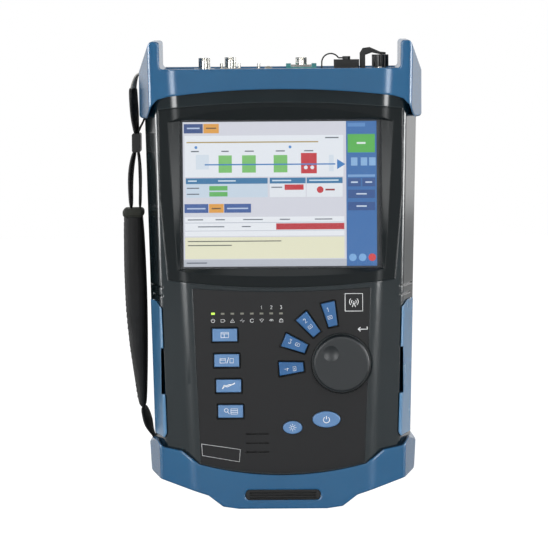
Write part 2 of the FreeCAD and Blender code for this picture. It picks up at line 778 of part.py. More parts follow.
def key(name, seat_outline, hole_outline, flange_outline):
    """A key from outlines at its seat: a cap with a crowned front, a flange that keeps it behind
    the shell, and the hole that it needs."""
    cap = extruded(name + "_cap", seat_outline, "front", "~key_flange")
    cap.setExpression("LengthRev", sized(f"~body_front + ~key_proud + {key_seat}"))
    doc.recompute()
    face = cap.Shape.BoundBox.YMin
    crowned = rounded(name + "_crowned", cap, "key_crown", lambda edge: lies(edge, y=face))
    flange = extruded(name + "_flange", flange_outline, "front", "~key_flange")
    node(name, fused(name + "_body", crowned, flange))
    hole = extruded(name + "_hole", hole_outline, "front", "~board_thick")
    hole.setExpression("LengthRev", "size.form_wide")
    return hole


def straight_key(name, corners):
    seat = drawing_on(name + "_seat", "front", key_seat)
    outline(seat, corners)
    around = []
    for grow in ("~key_gap", "~key_flange_out"):
        wider = doc.addObject("Part::Offset2D", name + grow[1:])
        wider.Source = seat
        wider.setExpression("Value", sized(grow))
        around.append(wider)
    return key(name, seat, *around)


def oval(name, side, high, half_wide, half_tall):
    item = doc.addObject("Part::Ellipse", name)
    item.Placement = FreeCAD.Placement(V(), PLANES["front"][0])
    for prop, text in (
        ("Placement.Base.x", side), ("Placement.Base.y", key_seat), ("Placement.Base.z", high),
        ("MajorRadius", half_wide), ("MinorRadius", half_tall),
    ):
        item.setExpression(prop, sized(text))
    return item


def oval_button(name, prefix):
    rings = [
        oval(
            f"{name}_{number}", f"~{prefix}_side", f"~{prefix}_high",
            f"~{prefix}_wide / 2 + {grow}", f"~{prefix}_tall / 2 + {grow}",
        )
        for number, grow in enumerate(("0", "~key_gap", "~key_flange_out"))
    ]
    return key(name, *rings)


key_holes = []
for number in range(4):
    side = f"(-~key_side + {number} * ~key_shift)"
    high = f"(~key_high - {number} * ~key_pitch)"
    key_holes.append(straight_key(f"left_key_{number + 1}", [
        (f"{side} - ~key_wide / 2", f"{high} - ~key_tall / 2"),
        (f"{side} + ~key_wide / 2", f"{high} - ~key_tall / 2"),
        (f"{side} + ~key_wide / 2", f"{high} + ~key_tall / 2"),
        (f"{side} - ~key_wide / 2", f"{high} + ~key_tall / 2"),
    ]))

for number in range(4):
    bearing = f"(~fkey_first + {number} * ~fkey_step)"
    corners = []
    for reach, wide in (("~fkey_near", "~fkey_wide_near"), ("~fkey_far", "~fkey_wide_far")):
        ends = [
            (
                f"~dial_side + {reach} * cos({bearing}) {first} {wide} / 2 * sin({bearing})",
                f"~dial_high + {reach} * sin({bearing}) {second} {wide} / 2 * cos({bearing})",
            )
            for first, second in (("+", "-"), ("-", "+"))
        ]
        corners += ends if reach == "~fkey_near" else ends[::-1]
    key_holes.append(straight_key(f"function_key_{number + 1}", corners))

key_holes.append(oval_button("power_button", "power"))
key_holes.append(oval_button("backlight_button", "light"))

# ---- Dial: a cup-shaped knob on a shaft that turns in a carriage, which slides in the encoder.

well = rod(
    "dial_well_cut", "y", ("~dial_side", "-~form_wide", "~dial_high"), "~dial_radius + ~dial_gap",
    "~form_wide - ~body_front + ~dial_well",
)
shaft_hole = rod(
    "shaft_hole_cut", "y", ("~dial_side", "-~form_wide", "~dial_high"),
    "~shaft_radius + ~shaft_hole", "~form_wide",
)
dial_back = "(-~body_front + ~dial_well - ~dial_lift)"
dial_face = "(-~body_front - ~dial_proud)"
dial_middle = ("~dial_side", dial_face, "~dial_high")
dial_disc = rod("dial_disc", "y", dial_middle, "~dial_radius", f"{dial_back} - {dial_face}")
doc.recompute()
dial_front_edge = dial_disc.Shape.BoundBox.YMin
dial_round = rounded(
    "dial_round", dial_disc, "dial_crown", lambda edge: lies(edge, y=dial_front_edge)
)
dial_inside = rod(
    "dial_inside", "y", ("~dial_side", f"{dial_face} + ~dial_wall + ~dimple_deep", "~dial_high"),
    "~dial_radius - ~dial_wall", "~body_front",
)
dial_hub = rod(
    "dial_hub", "y", ("~dial_side", f"{dial_face} + ~dial_wall", "~dial_high"),
    "~hub_radius", f"{dial_back} - {dial_face} - ~dial_wall - ~seat_gap",
)
dimple = doc.addObject("Part::Sphere", "dimple")
dimple_ball = "((~dimple_radius * ~dimple_radius + ~dimple_deep * ~dimple_deep) / (2 * ~dimple_deep))"
for prop, text in (
    ("Radius", dimple_ball), ("Placement.Base.x", "~dial_side - ~dimple_reach"),
    ("Placement.Base.y", f"{dial_face} + ~dimple_deep - {dimple_ball}"),
    ("Placement.Base.z", "~dial_high + ~dimple_reach"),
):
    dimple.setExpression(prop, sized(text))
encoder_front = "(-~pad_front + ~board_thick)"
carriage_front = f"({encoder_front} + ~plate_thick)"
shaft_back = f"({carriage_front} + ~carriage_thick)"
bore = rod(
    "hub_bore", "y", ("~dial_side", f"{dial_face} + ~dial_wall + ~dimple_deep", "~dial_high"),
    "~shaft_radius", "~body_front",
)
node("dial", cut(
    "dial_cut", fused("dial_block", cut("dial_cup", dial_round, dial_inside), dial_hub), bore, dimple
))
node("dial_shaft", rod(
    "shaft", "y", ("~dial_side", f"{dial_face} + ~dial_wall + ~dimple_deep", "~dial_high"),
    "~shaft_radius", f"{shaft_back} - {dial_face} - ~dial_wall - ~dimple_deep",
))
node("encoder_carriage", cut(
    "carriage",
    rod("carriage_disc", "y", ("~dial_side", carriage_front, "~dial_high"), "~carriage_radius",
        "~carriage_thick"),
    rod("carriage_bore", "y", ("~dial_side", "-~form_wide", "~dial_high"),
        "~shaft_radius + ~shaft_play", "2 * ~form_wide"),
))
node("encoder_body", cut(
    "encoder",
    box("encoder_case",
        ("~dial_side - ~encoder_side / 2", encoder_front, "~dial_high - ~encoder_side / 2"),
        ("~encoder_side", "~encoder_thick", "~encoder_side")),
    rod("encoder_mouth", "y", ("~dial_side", "-~form_wide", "~dial_high"),
        "~shaft_radius + ~shaft_hole", "~form_wide"),
    rod("encoder_bore", "y", ("~dial_side", f"{carriage_front} - ~shaft_play", "~dial_high"),
        "~carriage_radius + ~shaft_play", "~carriage_thick + ~dial_press + ~seat_gap"),
))

# ---- Status lamps, speaker and the keypad board behind the shell.

lamp_holes = []
lamps = []
for number in range(int(value("lamp_count"))):
    side = f"(-~lamp_side + {number} * ~lamp_pitch)"
    corner = (f"{side} - ~lamp_wide / 2", "-~body_front - ~part_gap", "~lamp_high - ~lamp_tall / 2")
    lamps.append(box(
        f"lamp_{number}", corner,
        ("~lamp_wide", "~body_front + ~part_gap - ~pad_front", "~lamp_tall"),
    ))
    lamp_holes.append(box(
        f"lamp_hole_{number}",
        (f"{side} - ~lamp_wide / 2 - ~part_gap", "-~form_wide",
         "~lamp_high - ~lamp_tall / 2 - ~part_gap"),
        ("~lamp_wide + 2 * ~part_gap", "~form_wide", "~lamp_tall + 2 * ~part_gap"),
    ))
node("power_lamp", lamps[0])
node("status_lamps", grouped("lamps", *lamps[1:]))

slots = []
for row in range(3):
    for place in range(2):
        slots.append(box(
            f"speaker_slot_{row}_{place}",
            (f"-~slot_side + {place} * (~slot_wide + ~slot_gap)", "-~form_wide",
             f"~slot_high + {row} * ~slot_pitch - ~slot_tall / 2"),
            ("~slot_wide", "~form_wide", "~slot_tall"),
        ))
inner_face = "(-~body_front + ~shell_wall)"
node("speaker", fused(
    "speaker_parts",
    rod("speaker_basket", "y", ("-~speaker_side", f"{inner_face} + ~seat_gap", "~speaker_high"),
        "~speaker_radius", "~speaker_thick / 2"),
    rod("speaker_magnet", "y",
        ("-~speaker_side", f"{inner_face} + ~seat_gap + ~speaker_thick / 2", "~speaker_high"),
        "~speaker_radius / 2", "~speaker_thick / 2"),
))
pad_outline = [
    ("-~pad_half", "~pad_step"), ("~pad_step_side", "~pad_step"), ("~pad_step_side", "~pad_low"),
    ("~pad_half", "~pad_low"), ("~pad_half", "~pad_high"), ("-~pad_half", "~pad_high"),
]
node("keypad_board", cut(
    "keypad_board_cut",
    slab("keypad_board_plate", "front", pad_outline, "-~pad_front", "-~pad_front + ~board_thick"),
    shaft_hole,
))
film = cut("film", film_front, well, *key_holes, *lamp_holes, *slots)
node("keypad_film", film)
pad_posts = [
    rod(f"pad_post_{number}", "y", (side, "-~body_front + ~shell_wall / 2", high),
        "~post_radius / 2", "~body_front - ~pad_front - ~shell_wall / 2")
    for number, (side, high) in enumerate((
        ("-~pad_half + ~post_radius", "~pad_high - ~post_radius"),
        ("-~pad_half + ~post_radius", "~pad_step + ~post_radius"),
        ("~pad_half - ~post_radius", "~pad_low + ~post_radius"),
        ("~board_mid_post", "~pad_step + ~post_radius"),
    ))
]

# ---- Side doors: skins that wrap the front edge and swing on pins along the parting plane.

per_rise = "/ (~body_top - ~body_floor)"
edge_rise = f"((~edge_high - ~edge_low) {per_rise})"
ridge_rise = f"((~ridge_high - ~ridge_low) {per_rise})"
side_lean = f"({edge_rise} * (1 - ~side_draft * ~facet_slope) + {ridge_rise} * ~side_draft * ~facet_slope)"
side_at_floor = (
    "(~edge_low + ~side_draft * (~door_back + ~body_front - ~facet_slope * (~edge_low - ~ridge_low)))"
)


def side_pin(name, low, radius, length):
    """A cylinder along the hinge line of a side door, which leans with the shell's side."""
    item = doc.addObject("Part::Cylinder", name)
    item.Placement = FreeCAD.Placement(V(), FreeCAD.Rotation(V(0, 1, 0), 1))
    for prop, text in (
        ("Placement.Base.x",
         f"{side_at_floor} + ({low} - ~body_floor) * {side_lean} - ~knuckle_in"),
        ("Placement.Base.y", "~door_back"),
        ("Placement.Base.z", low),
        ("Placement.Rotation.Angle", f"atan({side_lean})"),
        ("Radius", radius),
        ("Height", f"({length}) / cos(atan({side_lean}))"),
    ):
        item.setExpression(prop, sized(text))
    return item


def mirror(name, source):
    item = doc.addObject("Part::Mirroring", name)
    item.Source = source
    item.Normal = V(1, 0, 0)
    return item


door_corners = [
    ("~door_front_low + ~door_round / 2", "~door_low"),
    ("~form_wide", "~door_low"),
    ("~form_wide", "~door_high"),
    ("~door_front_high + ~door_corner", "~door_high"),
    ("~door_front_high", "~door_high - ~door_corner"),
    ("~door_front_low", "~door_low + ~door_round"),
]
door_front = slab("door_front", "front", door_corners, "-~form_wide", "~door_back")
door_skin = cut(
    "door_skin",
    common("door_face", softened("door_form", column("door_column", "~door_proud")), door_front),
    column("door_inside", "-~door_thick + ~door_proud"),
)
notch = box(
    "door_notch",
    ("0", "-~form_wide", "~notch_low"),
    ("(~door_front_low + ~door_front_high) / 2 + ~notch_deep", "~form_wide",
     "~notch_high - ~notch_low"),
)
knuckles = [
    side_pin("knuckle_low", "~door_low + ~door_gap", "~knuckle_radius", "~knuckle_long"),
    side_pin("knuckle_high", "~door_high - ~door_gap - ~knuckle_long", "~knuckle_radius",
             "~knuckle_long"),
]
pin_low = "(~door_low - ~pin_grip)"
pin_long = "(~door_high - ~door_low + 2 * ~pin_grip)"
right_door = cut(
    "right_door_cut", fused("door_block", cut("door_notched", door_skin, notch), *knuckles),
    side_pin("door_bore", pin_low, "~pin_radius + ~pin_play", pin_long),
)
node("right_door", right_door)
node("left_door", mirror("left_door_mirror", right_door))
right_pin = side_pin("right_pin", pin_low, "~pin_radius", pin_long)
node("door_pins", grouped("door_pin_pair", right_pin, mirror("left_pin_mirror", right_pin)))
door_pocket_front = widened("door_pocket_front", door_front.Base, "~door_gap", "front",
                            "~form_wide + ~door_back + ~door_swing")
door_pocket = cut(
    "door_pocket", door_pocket_front, column("pocket_wall", "-~door_thick + ~door_proud - ~door_gap")
)
hinge_room = side_pin("hinge_room", "~door_low - ~door_gap", "~knuckle_radius + ~knuckle_gap",
                      "~door_high - ~door_low + 2 * ~door_gap")
hinge_backing = cut(
    "hinge_backing",
    common(
        "hinge_backing_block", outer_form,
        box("hinge_backing_box",
            ("~jack_face - 1", "~split_back - ~backing_deep", "~door_low - ~backing_end"),
            ("~form_wide", "~backing_deep", "~door_high - ~door_low + 2 * ~backing_end")),
    ),
    column("backing_inside", "-~backing"),
)
right_cuts = [door_pocket, hinge_room, right_pin]

# ---- Sockets behind the doors.


def socket(name, low, long, wide, mouth_gap):
    """A socket's shell, open towards the door."""
    case = box(
        name + "_case", ("~jack_face - ~jack_deep", f"~jack_back - {wide} / 2", low),
        ("~jack_deep", wide, long),
    )
    mouth = box(
        name + "_mouth",
        ("~jack_face - ~jack_deep + ~jack_skin", f"~jack_back - {wide} / 2 + {mouth_gap}",
         f"{low} + {mouth_gap}"),
        ("~jack_deep", f"{wide} - 2 * {mouth_gap}", f"{long} - 2 * {mouth_gap}"),
    )
    hole = box(
        name + "_hole",
        ("~jack_face - ~jack_deep", f"~jack_back - {wide} / 2 - ~part_gap", f"{low} - ~part_gap"),
        ("~form_wide", f"{wide} + 2 * ~part_gap", f"{long} + 2 * ~part_gap"),
    )
    return cut(name + "_shell", case, mouth), hole


usb = []
left_holes = []
for number in range(2):
    low = f"(~usb_low + {number} * ~usb_pitch)"
    shell, hole = socket(f"usb_{number}", low, "~usb_long", "~usb_wide", "~jack_skin")
    tongue = box(
        f"usb_tongue_{number}",
        ("~jack_face - ~jack_deep + ~jack_skin", "~jack_back - ~usb_tongue / 2",
         f"{low} + 2 * ~jack_skin"),
        ("~jack_deep - 2 * ~jack_skin", "~usb_tongue", "~usb_long - 4 * ~jack_skin"),
    )
    usb.append(mirror(f"usb_left_{number}", fused(f"usb_whole_{number}", shell, tongue)))
    left_holes.append(mirror(f"usb_hole_left_{number}", hole))
node("serial_bus_sockets", grouped("usb_group", *usb))
lan, lan_hole = socket("lan", "~lan_low", "~lan_long", "~lan_wide", "1.6 * ~jack_skin")
node("network_socket", mirror("lan_left", lan))
left_holes.append(mirror("lan_hole_left", lan_hole))
dc_hole = box(
    "dc_hole",
    ("~jack_face - ~jack_deep", "~jack_back - ~jack_square / 2 - ~part_gap", "~dc_low - ~part_gap"),
    ("~form_wide", "~jack_square + 2 * ~part_gap", "~jack_square + 2 * ~part_gap"),
)
dc_block = box(
    "dc_block", ("~jack_face - ~jack_deep", "~jack_back - ~jack_square / 2", "~dc_low"),
    ("~jack_deep", "~jack_square", "~jack_square"),
)
dc_middle = ("~jack_face - ~jack_deep + ~jack_skin", "~jack_back", "~dc_low + ~jack_square / 2")
node("power_jack", fused(
    "power_jack_whole",
    cut("power_jack_shell", dc_block,
        rod("power_jack_bore", "x", dc_middle, "~jack_bore", "~jack_deep")),
    rod("power_jack_pin", "x", dc_middle, "~jack_pin", "~jack_deep - 3 * ~jack_skin"),
))

# ---- Inner parts: chassis plate, main board and battery.

plate_corners = mirrored([("~plate_half_low", "~plate_low"), ("~plate_half", "~plate_high")])
plate = slab(
    "plate", "front", plate_corners, "-~plate_front", "-~plate_front + ~plate_thick"
)
main_plate = box(
    "main_plate", ("-~main_half", "-~main_front", "~main_low"),
    ("2 * ~main_half", "~board_thick", "~main_high - ~main_low"),
)
standoffs = [
    rod(f"standoff_{number}", "y", (side, "-~main_front + ~board_thick", high), "~post_radius / 2",
        "~main_front - ~board_thick - ~plate_front")
    for number, (side, high) in enumerate(
        (f"{sign} * (~main_half - ~post_radius)", high)
        for sign in (-1, 1) for high in ("~main_low + ~post_radius", "~main_high - ~post_radius")
    )
]
node("main_board", main_plate)
node("chassis_plate", fused("plate_whole", plate, *standoffs))
node("processor", box(
    "chip", ("-~chip_side / 2", "-~main_front - ~chip_thick", "~display_low - ~chip_side"),
    ("~chip_side", "~chip_thick", "~chip_side"),
))
node("battery_pack", box(
    "cells", ("~cell_left", "~cell_front", "~cell_low"),
    ("~cell_right - ~cell_left", "~cell_back - ~cell_front", "~cell_high - ~cell_low"),
))

# ---- Test modules: sheet cases open at their foot, hung from their face plates.

bay_top = "(~body_top + ~panel_thick)"
module_wide = "(~bay_right - ~bay_left)"
module_cases = []
module_faces = []
module_boards = []
for number, name in enumerate(("front_module", "rear_module")):
    front = f"(~bay_front + {number} * (~module_thick + ~module_gap))"
    case = box(
        name + "_case_block", ("~bay_left", front, "~module_low"),
        (module_wide, "~module_thick", f"{bay_top} - ~face_thick - ~module_low"),
    )
    room = box(
        name + "_room",
        ("~bay_left + ~module_skin", f"{front} + ~module_skin", "~module_low - ~module_skin"),
        (f"{module_wide} - 2 * ~module_skin", "~module_thick - 2 * ~module_skin",
         f"{bay_top} - ~face_thick - ~module_low"),
    )
    module_cases.append(cut(name + "_case", case, room))
    module_faces.append(box(
        name + "_face", ("~bay_left", front, f"{bay_top} - ~face_thick"),
        (module_wide, "~module_thick", "~face_thick"),
    ))
    module_boards.append(box(
        name + "_board",
        ("~bay_left + ~module_skin", f"{front} + ~module_thick / 2", "~module_low + ~module_skin"),
        (f"{module_wide} - 2 * ~module_skin", "~board_thick",
         f"{bay_top} - ~face_thick - ~module_low - 2 * ~module_skin"),
    ))
node("module_cases", grouped("case_pair", *module_cases))
node("module_faces", grouped("face_pair", *module_faces))
node("module_boards", grouped("board_pair", *module_boards))
bay_room = box(
    "bay_room", ("~bay_left - ~module_gap", "~bay_front - ~module_gap", "~module_low"),
    (f"{module_wide} + 2 * ~module_gap", "2 * ~module_thick + 3 * ~module_gap",
     "~body_top - ~module_low + ~form_reach"),
)

# ---- Bumpers: the grown form, cut to their outlines and hollowed by the shells.

top_corners = mirrored([
    ("~arch_half", "~arch_side"), ("~tail_bend_half", "~tail_bend"),
    ("~tail_knee_half", "~tail_knee"), ("~tail_side", "~tail_low"),
    ("~flank_half", "~tail_low"), ("~flank_half", "~horn_hip"), ("~horn_outer", "~horn_top"),
    ("~horn_outer - ~horn_thick", "~horn_top"), ("~horn_root", "~wall_top"),
])
top_front = slab(
    "top_front", "front", top_corners, "-~form_wide", "~form_wide",
    {len(top_corners) - 1: ("0", "~arch_crown")}
)
well_room = box(
    "well_room", ("-~well_half", "-~well_front", "~body_top - ~proud"),
    ("2 * ~well_half", "~well_front + ~well_back", "~form_reach"),
)
strap_low_y = "(~strap_back - ~strap_wide / 2 - ~strap_play)"
strap_across = "(~strap_wide + 2 * ~strap_play)"
strap_slot = box(
    "strap_slot", ("-~form_wide", strap_low_y, "~strap_slot_low"),
    ("~form_wide - ~channel_in", strap_across, "~strap_slot_tall"),
)
strap_channel = box(
    "strap_channel", ("-~channel_out", strap_low_y, "~tail_low - ~form_reach / 4"),
    ("~channel_out - ~channel_in", strap_across,
     "~strap_slot_low + ~strap_slot_tall - ~tail_low + ~form_reach / 4"),
)
top_sharp = common("top_sharp", proud_form, top_front)
doc.recompute()
top_block = rounded("top_block", top_sharp, "bumper_round", lambda edge: runs(edge, "y"))
node("top_bumper", cut(
    "top_bumper_cut", top_block, body_solid, well_room, strap_slot, strap_channel
))

bottom_corners = mirrored([
    ("~rest_half", "0"), ("~foot_half", "~foot_rise"), ("~sole_half", "~sole_high"),
    ("~ear_half - ~toe_in", "~toe_high"), ("~ear_half", "~ear_fall"),
    ("~ear_half - ~ear_slope", "~ear_top"), ("~ear_half - ~ear_slope - ~ear_thick", "~saddle_high"),
    ("~slope_half", "~slope_high"), ("~dip_half", "~dip_high"),
])
bottom_front = slab(
    "bottom_front", "front", bottom_corners, "-~form_wide", "~form_wide", {8: ("0", "~crown_low")}
)
rail_mouth = box(
    "rail_mouth", ("-~rail_half", "-~form_wide", "~rail_low"),
    ("2 * ~rail_half", "~form_wide - ~body_front + ~part_gap", "~rail_high - ~rail_low"),
)
doc.recompute()
rail_round = rounded(
    "rail_round", rail_mouth, "rail_corner", lambda edge: runs(edge, "y")
)
bottom_sharp = common("bottom_sharp", proud_form, bottom_front)
doc.recompute()
bottom_block = rounded("bottom_block", bottom_sharp, "bumper_round", lambda edge: runs(edge, "y"))
foot_channel = box(
    "foot_channel", ("-~foot_channel_in - ~foot_channel", strap_low_y, "~tail_web_low - ~seat_gap"),
    ("~foot_channel", strap_across, "~form_reach"),
)
node("bottom_bumper", cut(
    "bottom_bumper_cut", bottom_block, body_solid, rail_round, foot_channel
))
rail_base = box(
    "rail_base", ("-~rail_half + ~rail_play", "-~body_front - ~rail_proud", "~rail_low + ~rail_play"),
    ("2 * (~rail_half - ~rail_play)", "~rail_proud - ~rail_glue",
     "~rail_high - ~rail_low - 2 * ~rail_play"),
)
rail_body = rounded("rail_body", rail_base, "rail_corner", lambda edge: runs(edge, "y"))
grooves = [
    box(f"rail_groove_{number}",
        ("-~rail_half + ~rail_corner",
         "-~body_front - ~rail_proud",
         f"~rail_low + ({number} + 0.5) * (~rail_high - ~rail_low) / (~rail_ribs + 1)"),
        ("2 * (~rail_half - ~rail_corner)", "~rail_proud / 2",
         "(~rail_high - ~rail_low) / (~rail_ribs + 1) - ~rail_rib"))
    for number in range(int(value("rail_ribs")))
]
node("bumper_rail", cut("rail", rail_body, *grooves))

# ---- Top panel and what stands on it.

panel_plate = box(
    "panel_plate", ("-~well_half + ~panel_play", "-~well_front + ~panel_play", "~body_top"),
    ("2 * (~well_half - ~panel_play)", "~well_front + ~well_back - 2 * ~panel_play",
     "~panel_thick"),
)
node("top_panel", cut("top_panel_cut", panel_plate, bay_room))


def port(name, side, deep, foot):
    """A nickel sleeve with a key notch around a ceramic alignment sleeve."""
    tube = rod(name + "_tube", "z", (side, deep, foot), "~port_radius", f"~port_top - ({foot})")
    base = box(
        name + "_base", (f"{side} - ~port_base_wide / 2", f"{deep} - ~port_base_tall / 2", foot),
        ("~port_base_wide", "~port_base_tall", "~port_base_thick"),
    )
    room = rod(name + "_room", "z", (side, deep, f"({foot}) + ~port_base_thick"), "~port_bore",
               "~form_reach")
    notch_cut = box(
        name + "_notch",
        (f"{side} - ~port_key / 2", f"{deep} - ~port_base_wide", "~port_top - ~port_key_deep"),
        ("~port_key", "~port_base_wide", "~form_reach"),
    )
    ferrule = rod(name + "_ferrule", "z", (side, deep, f"({foot}) + ~port_base_thick / 2"),
                  "~ferrule_radius",
                  f"~port_top - ~ferrule_short - ({foot}) - ~port_base_thick / 2")
    hole = rod(name + "_hole", "z", (side, deep, f"({foot}) + ~port_base_thick"),
               "~ferrule_bore", "~form_reach")
    shell = cut(name + "_shell", fused(name + "_block", tube, base), room, notch_cut)
    return cut(name, fused(name + "_whole", shell, ferrule), hole)


fibre_ports = [
    port("fibre_port_1", "~port_1_side", "~port_deep", bay_top),
    port("fibre_port_2", "~port_2_side", "~port_deep_rear", bay_top),
    port("fibre_port_3", "~port_3_side", "~port_deep", f"{bay_top} + ~flange_thick - ~flange_dip"),
]
node("fibre_ports", grouped("fibre_port_group", *fibre_ports))
flange = [
    ("~port_3_side + ~flange_wide / 2", bay_top),
    ("~port_3_side + ~flange_wide / 2", f"{bay_top} + ~flange_thick"),
    ("~port_3_side + ~port_base_wide / 2 + ~part_gap", f"{bay_top} + ~flange_thick"),
    ("~port_3_side + ~port_base_wide / 2 + ~part_gap",
     f"{bay_top} + ~flange_thick - ~flange_dip"),
    ("~port_3_side - ~port_base_wide / 2 - ~part_gap",
     f"{bay_top} + ~flange_thick - ~flange_dip"),
    ("~port_3_side - ~port_base_wide / 2 - ~part_gap", f"{bay_top} + ~flange_thick"),
    ("~port_3_side - ~flange_wide / 2", f"{bay_top} + ~flange_thick"),
    ("~port_3_side - ~flange_wide / 2", bay_top),
]
node("port_flange", slab(
    "flange", "front", flange, "~port_deep - ~flange_tall / 2", "~port_deep + ~flange_tall / 2"
))
screw_foot = f"({bay_top} + ~port_base_thick)"
small_screws = [
    rod("port_screw_1", "z", ("~port_2_side - ~screw_reach", "~port_deep_rear", screw_foot),
        "~screw_radius", f"~screw_top - {screw_foot}"),
    rod("port_screw_2", "z", ("~port_2_side + ~screw_reach", "~port_deep_rear", screw_foot),
        "~screw_radius", f"~screw_top - {screw_foot}"),
    rod("catch_screw_1", "z", ("~catch_side", "~port_deep", bay_top), "~screw_radius",
        f"~screw_top - {bay_top}"),
    rod("catch_screw_2", "z", ("~catch_side", "~port_deep_rear", bay_top), "~screw_radius",
        f"~screw_top - {bay_top}"),
]
node("module_screws", grouped("module_screw_group", *small_screws))
dome = rod("dome", "z", ("~dome_side", "~port_deep", bay_top), "~dome_radius", "~dome_high")
doc.recompute()
dome_top = dome.Shape.BoundBox.ZMax
node("module_lamp", rounded("dome_round", dome, "port_key", lambda edge: lies(edge, z=dome_top)))

# ---- Built-in ports and their tethered dust caps, which pull straight off.

meter_at = ("~meter_side", "~port_deep", bay_top)
node("meter_port", cut(
    "meter_port_cut",
    rod("meter_port_tube", "z", meter_at, "~meter_port_rad", f"~meter_port_top - {bay_top}"),
    rod("meter_port_bore", "z",
        ("~meter_side", "~port_deep", f"{bay_top} + ~port_base_thick"), "~port_bore",
        "~form_reach"),
))
cap_round = rod("meter_cap_disc", "z", ("~meter_side", "~port_deep", "~meter_cap_low"),
                "~meter_cap_rad", "~meter_cap_top - ~meter_cap_low")
cap_room = rod("meter_cap_room", "z", ("~meter_side", "~port_deep", "~meter_cap_low"),
               "~meter_port_rad + ~cap_play", "~meter_cap_top - ~meter_cap_low - ~cap_wall")
grips = []
for number in range(int(value("knurls"))):
    turn = f"({number} * 360 / ~knurls)"
    grips.append(rod(
        f"grip_{number}", "z",
        (f"~meter_side + ~meter_cap_rad * cos({turn})", f"~port_deep + ~meter_cap_rad * sin({turn})",
         "~meter_cap_low"),
        "~knurl_radius", "~meter_cap_top - ~meter_cap_low",
    ))
node("meter_cap", cut("meter_cap_cut", cap_round, cap_room, *grips))


def block_on(name, middle, wide, tall, low, high):
    return box(
        name, (f"{middle} - ({wide}) / 2", f"~port_deep - ({tall}) / 2", low),
        (wide, tall, f"{high} - {low}"),
    )


port_wide = "(~source_cap_wide - 2 * ~cap_wall - 2 * ~cap_play)"
port_tall = "(~source_cap_tall - 2 * ~cap_wall - 2 * ~cap_play)"
source_block = block_on("source_block", "~source_side", port_wide, port_tall, bay_top,
                        "~source_port_top")
source_mouth = block_on(
    "source_mouth", "~source_side", f"{port_wide} - 2 * ~port_base_thick",
    f"{port_tall} - 2 * ~port_base_thick", f"({bay_top} + ~port_base_thick)",
    "(~source_port_top + ~port_base_thick)",
)
node("source_port", cut("source_port_cut", source_block, source_mouth))
cap_foot = f"({bay_top} + ~seat_gap)"
cap_block = block_on("source_cap_block", "~source_side", "~source_cap_wide", "~source_cap_tall",
                     cap_foot, "~source_cap_top")
cap_corners = rounded("source_cap_round", cap_block, "port_base_thick",
                      lambda edge: runs(edge, "z"))
cap_hollow = block_on(
    "source_cap_hollow", "~source_side", f"{port_wide} + 2 * ~cap_play",
    f"{port_tall} + 2 * ~cap_play", bay_top, "(~source_cap_top - ~cap_wall)",
)
cap_knob = rod("source_cap_knob", "z", ("~source_side", "~port_deep", "~source_cap_top - ~cap_wall / 2"),
               "~source_knob", "~source_knob_up + ~cap_wall / 2")
node("source_cap", fused(
    "source_cap_whole", cut("source_cap_shell", cap_corners, cap_hollow), cap_knob
))

strip = [
    ("~strip_side + ~strip_wide / 2", bay_top),
    ("~strip_side + ~strip_wide / 2", "~strip_bend"),
    ("~meter_side - ~meter_cap_rad", "~meter_cap_top + ~strip_thick"),
    ("~meter_side", "~meter_cap_top + ~part_gap"),
    ("~meter_side + ~strip_wide", "~meter_cap_top + ~part_gap"),
    ("~meter_side + ~strip_wide", "~meter_cap_top + ~part_gap + ~strip_thick"),
    ("~meter_side", "~meter_cap_top + 1.4 * ~strip_thick"),
    ("~meter_side - ~meter_cap_rad - ~strip_thick", "~strip_top"),
    ("~strip_side + ~part_gap", "~strip_top - ~strip_thick / 2"),
    ("~strip_side - ~strip_wide / 2", "~strip_bend + ~strip_thick"),
    ("~strip_side - ~strip_wide / 2", bay_top),
]
node("meter_cap_strap", slab(
    "cap_strap", "front", strip, "~port_deep - ~strip_deep / 2", "~port_deep + ~strip_deep / 2"
))

lead_level = "(~source_cap_top + ~source_knob_up / 2)"
lead_rest = f"({bay_top} + ~lead_rise)"
lead_post = rod("lead_post", "z", ("~lead_side", "~port_deep", bay_top), "~lead_radius", "~lead_rise")
over = math.degrees(math.asin(
    (value("source_cap_top") + value("source_knob_up") / 2 - value("body_top")
     - value("panel_thick") - value("lead_rise")) / value("lead_bend")
))
lead_arc = doc.addObject("Part::Torus", "lead_arc")
lead_arc.setExpression("Radius1", sized("~lead_bend"))
lead_arc.setExpression("Radius2", sized("~lead_radius"))
lead_arc.Angle3 = 180 - over
lead_arc.Placement.Rotation = FreeCAD.Rotation(V(1, 0, 0), 90) * FreeCAD.Rotation(V(0, 0, 1), over)
for axis, place in zip("xyz", ("~lead_side + ~lead_bend", "~port_deep", lead_rest)):
    lead_arc.setExpression(f"Placement.Base.{axis}", sized(place))
lead_above = f"({lead_level} - {lead_rest})"
lead_reach = f"sqrt(~lead_bend * ~lead_bend - {lead_above} * {lead_above})"
lead_end = rod(
    "lead_end", "x", (f"~lead_side + ~lead_bend + {lead_reach}", "~port_deep", lead_level),
    "~lead_radius", f"~source_side - ~source_knob - ~lead_side - ~lead_bend - {lead_reach}",
)
node("source_cap_tether", fused("lead", lead_post, lead_arc, lead_end))

# ---- Hand strap on the left: a loop through the bumper's flank, a buckle, two strands, a padded
# grip, and the webbing that runs down into the bottom bumper.

